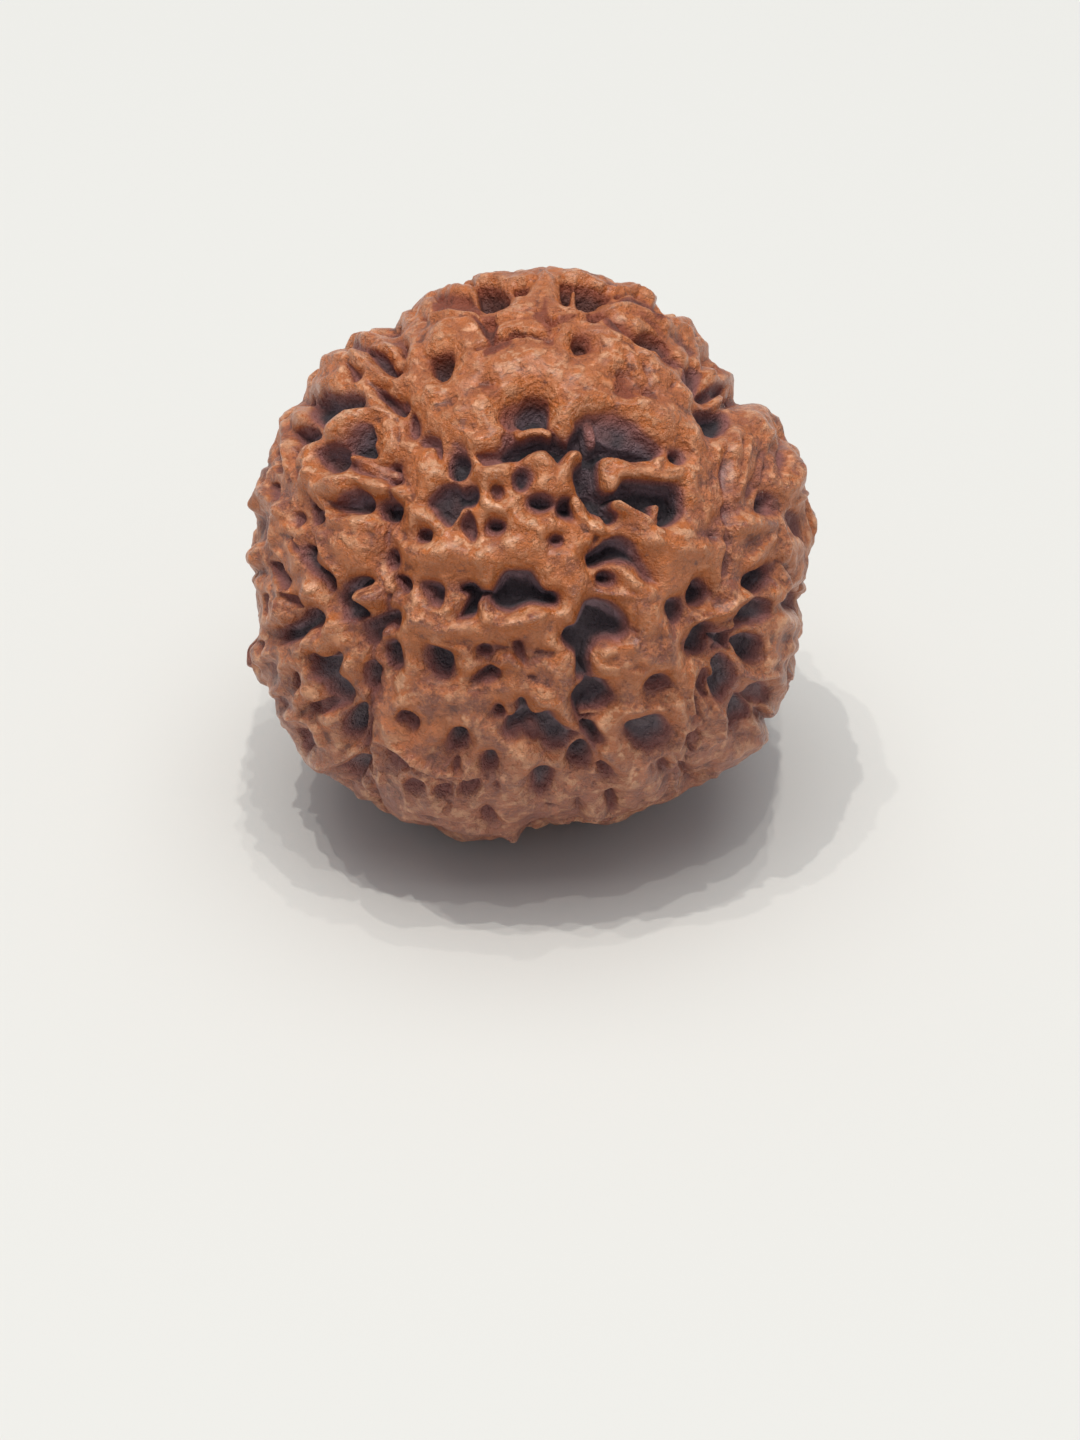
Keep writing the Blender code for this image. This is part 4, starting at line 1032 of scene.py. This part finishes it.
# Skin worn less, smooth and amber: the outline's pixels, then how strongly
ambers = [
    ([(383, 712), (392, 707), (425, 708), (441, 714), (447, 728), (446, 752), (425, 750), (402, 741),
      (385, 728)], 0.8),
    ([(496, 660), (510, 664), (516, 680), (513, 700), (498, 706), (478, 700), (486, 688), (500, 684)], 0.8),
    ([(402, 470), (418, 474), (428, 486), (426, 500), (410, 498), (402, 486)], 0.4),
    ([(528, 272), (556, 272), (556, 290), (549, 296), (540, 296), (532, 286)], 0.7),
    ([(614, 288), (640, 288), (655, 297), (652, 302), (636, 297), (616, 298)], 0.8),
    ([(438, 286), (452, 283), (470, 284), (474, 297), (440, 298)], 0.7),
    ([(316, 366), (330, 362), (340, 370), (338, 384), (320, 388), (313, 378)], 0.8),
    ([(392, 318), (404, 316), (406, 330), (396, 332)], 0.6),
    ([(664, 316), (680, 318), (694, 328), (698, 338), (680, 334), (668, 324)], 0.8),
    ([(764, 412), (779, 420), (784, 440), (774, 442), (766, 428)], 0.7),
    ([(738, 425), (750, 422), (752, 440), (742, 446)], 0.5),
    ([(626, 548), (660, 552), (690, 560), (688, 590), (650, 588), (640, 575)], 0.5),
    ([(400, 556), (440, 560), (480, 566), (482, 576), (450, 578), (420, 574), (402, 568)], 0.5),
    ([(545, 520), (575, 530), (590, 548), (582, 575), (562, 590), (552, 570), (548, 548)], 0.5),
    ([(668, 440), (684, 440), (690, 470), (682, 476), (672, 472)], 0.5),
    ([(500, 372), (530, 378), (560, 382), (556, 392), (525, 388), (502, 384)], 0.4),
    ([(573, 368), (600, 366), (628, 376), (640, 392), (612, 388), (585, 380)], 0.4),
]

# Rounds of smoothing, from the skin itself to the skin round it, and the softness of the patches' edges in
# pixels
skinMarks = {
    "crest": (3, 40),
    "relief": (1, 12),
    "lift": 5,
    "stainAndShadeEdge": 3.0,
    "amberEdge": 6.0,
}


def photoPatches(skin, patches, soft):
    # each point's value from the patches that it is in, with an edge this many pixels soft
    painted = np.zeros(len(skin.directions))
    for outline, value in patches:
        curve = rounded(outline)
        rows, u, v = skin.near(curve, soft, skin.tops)
        painted[rows] = np.maximum(painted[rows], value * smooth(-soft, soft, insideOutline(u, v, curve)))
    return painted


def markSkin(piece):
    # depth is how far a point lies below the tops, deepened where stains and painted shade are laid on, crest
    # and relief how far it stands out from the skin round it, all in mm; lift is how much more it faces up
    # than the round seed does, and warm where it is amber
    mesh = piece.data
    away = vertexArray(mesh) - np.array(seed["middle"])
    reach = np.linalg.norm(away, axis=1)
    skin = Skin(away / reach[:, None])
    normals = np.empty(len(mesh.vertices) * 3)
    mesh.vertices.foreach_get("normal", normals)
    edges = np.empty(len(mesh.edges) * 2, dtype=np.int64)
    mesh.edges.foreach_get("vertices", edges)
    edges = edges.reshape(-1, 2)
    near = smoothed(reach, edges, skinMarks["crest"][0])
    small, large = skinMarks["relief"]
    stainedAndShaded = photoPatches(skin, stainsAndShade, skinMarks["stainAndShadeEdge"])
    marks = {
        "depth": np.maximum((plateauRadius(skin) - reach) / mm, stainedAndShaded),
        "crest": (near - smoothed(near, edges, skinMarks["crest"][1])) / mm,
        "relief": (smoothed(reach, edges, small) - smoothed(reach, edges, large)) / mm,
        "lift": smoothed(normals[2::3].copy(), edges, skinMarks["lift"]) - skin.directions[:, 2],
        "warm": photoPatches(skin, ambers, skinMarks["amberEdge"]),
    }
    for name, values in marks.items():
        mesh.attributes.new(name, "FLOAT", "POINT").data.foreach_set("value", values.astype(np.float32))
    print("skin marked")


class Wire:
    # a node's output that sums and products can be written with

    def __init__(self, tree, socket=None):
        self.tree = tree
        self.socket = socket

    def node(self, kind, settings, sockets, output=0):
        made = self.tree.nodes.new(kind)
        for name, value in settings.items():
            setattr(made, name, value)
        for name, value in sockets.items():
            if isinstance(value, Wire):
                self.tree.links.new(value.socket, made.inputs[name])
            else:
                made.inputs[name].default_value = value
        return Wire(self.tree, made.outputs[output])

    def maths(self, operation, first, second):
        return self.node("ShaderNodeMath", {"operation": operation}, {0: first, 1: second})

    def __add__(self, other):
        return self.maths("ADD", self, other)

    def __radd__(self, other):
        return self.maths("ADD", other, self)

    def __sub__(self, other):
        return self.maths("SUBTRACT", self, other)

    def __rsub__(self, other):
        return self.maths("SUBTRACT", other, self)

    def __mul__(self, other):
        return self.maths("MULTIPLY", self, other)

    def __rmul__(self, other):
        return self.maths("MULTIPLY", other, self)

    def between(self, low, high):
        # 0 at low, 1 at high, smooth
        return self.node("ShaderNodeMapRange", {"interpolation_type": "SMOOTHSTEP"},
                         {"Value": self, "From Min": low, "From Max": high})

    def mix(self, first, second):
        # a colour mixed by this factor
        return self.node("ShaderNodeMix", {"data_type": "RGBA"}, {0: self, 6: first, 7: second}, output=2)


def colour(red, green, blue):
    # from screen values to the shader's
    return tuple((value / 255 / 12.92) if value < 10.3 else ((value / 255 + 0.055) / 1.055) ** 2.4
                 for value in (red, green, blue)) + (1.0,)


# Two numbers in brackets are where a change starts and where it is whole
woodFinish = {
    "tops": colour(202, 119, 70),
    "dull": colour(140, 74, 48),
    # pale: wear on the tops, and a painted highlight where they face up
    "wearAndHighlight": colour(232, 172, 130),
    "amber": colour(196, 106, 42),
    # darker towards the bottom: painted shade
    "low": colour(164, 102, 86),
    "speck": colour(96, 46, 32),
    # cavity walls and creases, off and on the crown: the seed's red-brown hollows, darkened as painted shade
    "redWall": colour(144, 88, 80),
    "crownWall": colour(142, 68, 40),
    # pale grey-violet of the deep cavity floors: painted light, lifting the floors that lie in shade
    "floor": colour(164, 134, 140),
    # painted shade on the crown's cavity floors, which face the lamps
    "crownPaintedFloorShade": colour(98, 54, 44),
    "paintedFloorShade": colour(50, 43, 48),  # painted shade on cavity floors that face up into the lamps' light
    "lowPaintedFloorShade": colour(116, 102, 106),
    # by the depth below the tops, in mm
    "topDepth": (0.10, 0.55),
    "wallDepth": (0.22, 0.55),
    "floorDepth": (0.50, 1.05),
    "dullDepth": (0.2, 0.8),
    # by how far it stands out from the skin round it, in mm
    "amberCrest": (-0.02, 0.14),
    "wallCrest": (-0.24, 0.02),
    "polish": (0.03, 0.22),
    # by the height above the ground
    "high": (16.5 * mm, 20.5 * mm),
    "crown": (20.8 * mm, 21.8 * mm),
    "shadedBottom": (3.0 * mm, 14.0 * mm),
    "paintedFloorShadeHeight": (9.0 * mm, 18.5 * mm),
    # by how much more it faces up than the round seed
    "undersideShadeLift": (-0.40, 0.0),
    "highlightLift": (-0.25, 0.15),
    "paintedFloorShadeLift": (-0.55, -0.05),
    # by the noise
    "topsNoise": (0.45, 0.64),
    "amberNoise": (0.42, 0.54),
    "warmNoise": (0.35, 0.5),
    "wornNoise": (0.50, 0.66),
    "wornPatches": (0.38, 0.60),
    "speckNoise": (0.60, 0.76),
    "bumpNoise": (0.36, 0.64),
    # how strongly each covers what is under it
    "amberShare": 0.9,
    "highAmber": 0.5,
    "undersideShadeAmber": 0.8,
    "shadedBottomShare": 0.6,
    "wornShare": 0.2,  # and this much more as a painted highlight where it faces up, and on high skin
    "highlightUp": 0.5,
    "wornHigh": 0.3,
    "speckShare": 0.65,
    "highPaintedFloorShade": 0.6,
    "paintedFloorShadeShare": 0.95,
    "wornRelief": 1.2,  # how much the small relief helps a worn fleck
    "speckRelief": 2.5,  # and hinders a speck, so specks gather in the small furrows: dirt there, and painted shade
    "roughTop": 0.50,
    "roughPolish": 0.32,
    "roughSpread": 0.4,
    "roughDeep": 0.25,  # added in the cavities
    "bump": 0.26 * mm,
    "bumpStrength": 0.9,
    "coat": 0.4,  # on the tops
    "coatRough": 0.34,
    "specular": 0.6,
}

# Noise in the wood: size, detail, roughness and a shift
woodNoise = {
    "blotch": (1.5 * mm, 3.0, 0.6, 0.0),
    "mottle": (0.60 * mm, 5.0, 0.66, 0.0),
    "flecks": (0.42 * mm, 3.0, 0.6, 0.013),
    "dots": (0.50 * mm, 3.0, 0.6, 0.031),
    "grain": (0.16 * mm, 3.0, 0.6, 0.007),
}


def woodMaterial():
    look = woodFinish
    material = bpy.data.materials.new("seedWoodWithPaintedShade")
    material.use_nodes = True
    tree = material.node_tree
    tree.nodes.clear()
    start = Wire(tree)
    place = start.node("ShaderNodeTexCoord", {}, {}, output="Object")
    upward = start.node("ShaderNodeSeparateXYZ", {}, {0: place}, output="Z")

    def mark(name):
        return start.node("ShaderNodeAttribute", {"attribute_name": name}, {}, output="Fac")

    def patches(name):
        size, detail, rough, shift = woodNoise[name]
        away = (shift, shift, -shift)
        moved = start.node("ShaderNodeVectorMath", {"operation": "ADD"}, {0: place, 1: away})
        return start.node("ShaderNodeTexNoise", {},
                          {"Vector": moved, "Scale": 1.0 / size, "Detail": detail, "Roughness": rough})

    depth, crest, relief, lift, warm = (mark(name) for name in ("depth", "crest", "relief", "lift", "warm"))
    blotch, mottle, flecks, dots, grain = (patches(name) for name in woodNoise)
    top = 1.0 - depth.between(*look["topDepth"])
    high = upward.between(*look["high"])
    crown = upward.between(*look["crown"])

    # tops: mottled, amber on the crests, high up and in its patches; amber on the undersides and darker
    # towards the bottom as painted shade; then worn, with a painted highlight where it faces up, and specked
    wood = (mottle * 0.55 + blotch * 0.2 + grain * 0.35).between(*look["topsNoise"])
    wood = wood.mix(look["dull"], look["tops"])
    amber = crest.between(*look["amberCrest"]) * blotch.between(*look["amberNoise"]) * look["amberShare"]
    # painted shade: amber on the undersides, which face up less than the round seed
    under = (1.0 - lift.between(*look["undersideShadeLift"])) * look["undersideShadeAmber"]
    for share in (amber, high * look["highAmber"], under, warm * blotch.between(*look["warmNoise"])):
        wood = share.mix(wood, look["amber"])
    # painted shade: darker towards the bottom
    wood = ((1.0 - upward.between(*look["shadedBottom"])) * look["shadedBottomShare"]).mix(wood, look["low"])
    wearAndHighlight = (flecks + relief * look["wornRelief"]).between(*look["wornNoise"]) * top
    wearAndHighlight = wearAndHighlight * (blotch * 0.5 + mottle * 0.5).between(*look["wornPatches"]) * (1.0 - warm)
    # painted highlight: paler where the skin faces up
    upper = lift.between(*look["highlightLift"]) * look["highlightUp"] + look["wornShare"] + high * look["wornHigh"]
    wearAndHighlight = wearAndHighlight * upper
    wood = wearAndHighlight.mix(wood, look["wearAndHighlight"])
    speck = (dots + high * 0.05 - relief * look["speckRelief"]).between(*look["speckNoise"])
    wood = (speck * look["speckShare"]).mix(wood, look["speck"])

    # walls and floors: painted shade down into the cavities and the concave creases, over the seed's
    # red-brown hollows
    wall = crown.mix(look["redWall"], look["crownWall"])
    wood = ((1.0 - crest.between(*look["wallCrest"])) * (1.25 - mottle * 0.9)).mix(wood, wall)
    wood = depth.between(*look["wallDepth"]).mix(wood, wall)
    # deep in the cavities: the floor colour, with painted shade on high skin, on the crown and where a floor
    # faces up into the light
    floor = crown.mix((high * look["highPaintedFloorShade"]).mix(look["floor"], look["paintedFloorShade"]), look["crownPaintedFloorShade"])
    paintedFloorShade = upward.between(*look["paintedFloorShadeHeight"]).mix(look["lowPaintedFloorShade"], look["paintedFloorShade"])
    paintedFloorShade = crown.mix(paintedFloorShade, look["crownPaintedFloorShade"])
    floor = (lift.between(*look["paintedFloorShadeLift"]) * look["paintedFloorShadeShare"]).mix(floor, paintedFloorShade)
    wood = depth.between(*look["floorDepth"]).mix(wood, floor)

    grainy = look["bumpNoise"]
    height = mottle.between(*grainy) * 0.5 + flecks.between(*grainy) * 0.3 + grain * 0.2
    bump = start.node("ShaderNodeBump", {},
                      {"Height": height, "Distance": look["bump"], "Strength": look["bumpStrength"]})
    rough = look["roughTop"] + (flecks - 0.5) * look["roughSpread"]
    rough = rough + depth.between(*look["dullDepth"]) * look["roughDeep"]
    rough = rough - crest.between(*look["polish"]) * (look["roughTop"] - look["roughPolish"])

    shader = tree.nodes.new("ShaderNodeBsdfPrincipled")
    made = {"Base Color": wood, "Roughness": rough, "Normal": bump, "Coat Weight": top * look["coat"]}
    for name, wire in made.items():
        tree.links.new(wire.socket, shader.inputs[name])
    shader.inputs["Specular IOR Level"].default_value = look["specular"]
    shader.inputs["Coat Roughness"].default_value = look["coatRough"]
    output = tree.nodes.new("ShaderNodeOutputMaterial")
    tree.links.new(shader.outputs["BSDF"], output.inputs["Surface"])
    return material


# Plain pale floor
floorFinish = {"size": 3.0, "paper": colour(222, 220, 214), "rough": 0.9, "specular": 0.1}


def makeFloor():
    sheet = bmesh.new()
    bmesh.ops.create_grid(sheet, x_segments=1, y_segments=1, size=floorFinish["size"] / 2)
    floor = placed("floor", meshFrom("floor", sheet))
    material = bpy.data.materials.new("palePaper")
    material.use_nodes = True
    shader = material.node_tree.nodes["Principled BSDF"]
    shader.inputs["Base Color"].default_value = floorFinish["paper"]
    shader.inputs["Roughness"].default_value = floorFinish["rough"]
    shader.inputs["Specular IOR Level"].default_value = floorFinish["specular"]
    floor.data.materials.append(material)


# Small overhead lamps, each set by where it throws the middle of the seed's shadow: x, y in mm, and how much
# it adds to the floor's brightness
studio = {
    "lamps": [(-0.9, -0.6, 0.05), (-0.85, 0.9, 0.09), (-0.7, 3.1, 0.06), (2.2, 1.2, 0.13), (3.2, 0.7, 0.07)],
    "height": 0.9,
    "lampSize": 0.014,
    "lampTint": (1.0, 0.98, 0.945),
    "softBox": 0.27,  # brightness that the large soft light above adds to the floor
    "softBoxSize": 1.0,
    "softBoxHeight": 1.0,
    "softBoxGain": 1.45,  # makes up for how wide it is
    "ambient": 0.33,
    "ambientTint": (0.89, 0.98, 1.10),
}


def lampPower(added, height):
    # what a small lamp this high needs, to add so much to the floor's brightness
    return added / floorFinish["paper"][0] * math.pi**2 * height**2


def makeStudio():
    world = bpy.data.worlds.new("softRoom")
    bpy.context.scene.world = world
    world.use_nodes = True
    sky = world.node_tree.nodes["Background"]
    sky.inputs["Color"].default_value = (*studio["ambientTint"], 1.0)
    sky.inputs["Strength"].default_value = studio["ambient"]
    middle = Vector(seed["middle"])
    box = bpy.data.lights.new("softBox", "AREA")
    box.shape = "SQUARE"
    box.size = studio["softBoxSize"]
    box.energy = lampPower(studio["softBox"], studio["softBoxHeight"]) * studio["softBoxGain"]
    placed("softBox", box).location = (0.0, 0.0, studio["softBoxHeight"])
    for index, (x, y, added) in enumerate(studio["lamps"]):
        lamp = bpy.data.lights.new(f"lamp{index}", "AREA")
        lamp.shape = "DISK"
        lamp.size = studio["lampSize"]
        lamp.color = studio["lampTint"]
        lamp.energy = lampPower(added, studio["height"])
        fall = middle - Vector((x * mm, y * mm, 0.0))
        holder = placed(f"lamp{index}", lamp)
        holder.location = middle + fall * (studio["height"] / fall.z)
        holder.rotation_euler = (holder.location - middle).to_track_quat("Z", "Y").to_euler()


def makeCamera():
    lens = bpy.data.cameras.new("photoCamera")
    lens.sensor_fit = "VERTICAL"
    lens.sensor_height = photo["sensor"]
    lens.lens = lensFocal * photo["sensor"] / photo["tall"]
    lens.clip_start = 1.0 * mm
    camera = placed("photoCamera", lens)
    axes = Matrix((lensRight, lensUp, lensBack)).transposed().to_4x4()
    camera.matrix_world = Matrix.Translation(lensPlace) @ axes
    bpy.context.scene.camera = camera


makeCamera()
makeFloor()
makeStudio()
bpy.context.scene.view_settings.view_transform = "Standard"
print("camera, floor and lamps set")

seedSkin = makeSeed()
markSkin(seedSkin)
seedSkin.data.materials.append(woodMaterial())
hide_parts("rudraksha_seed")
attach(seedSkin, "root")
print("seed finished")
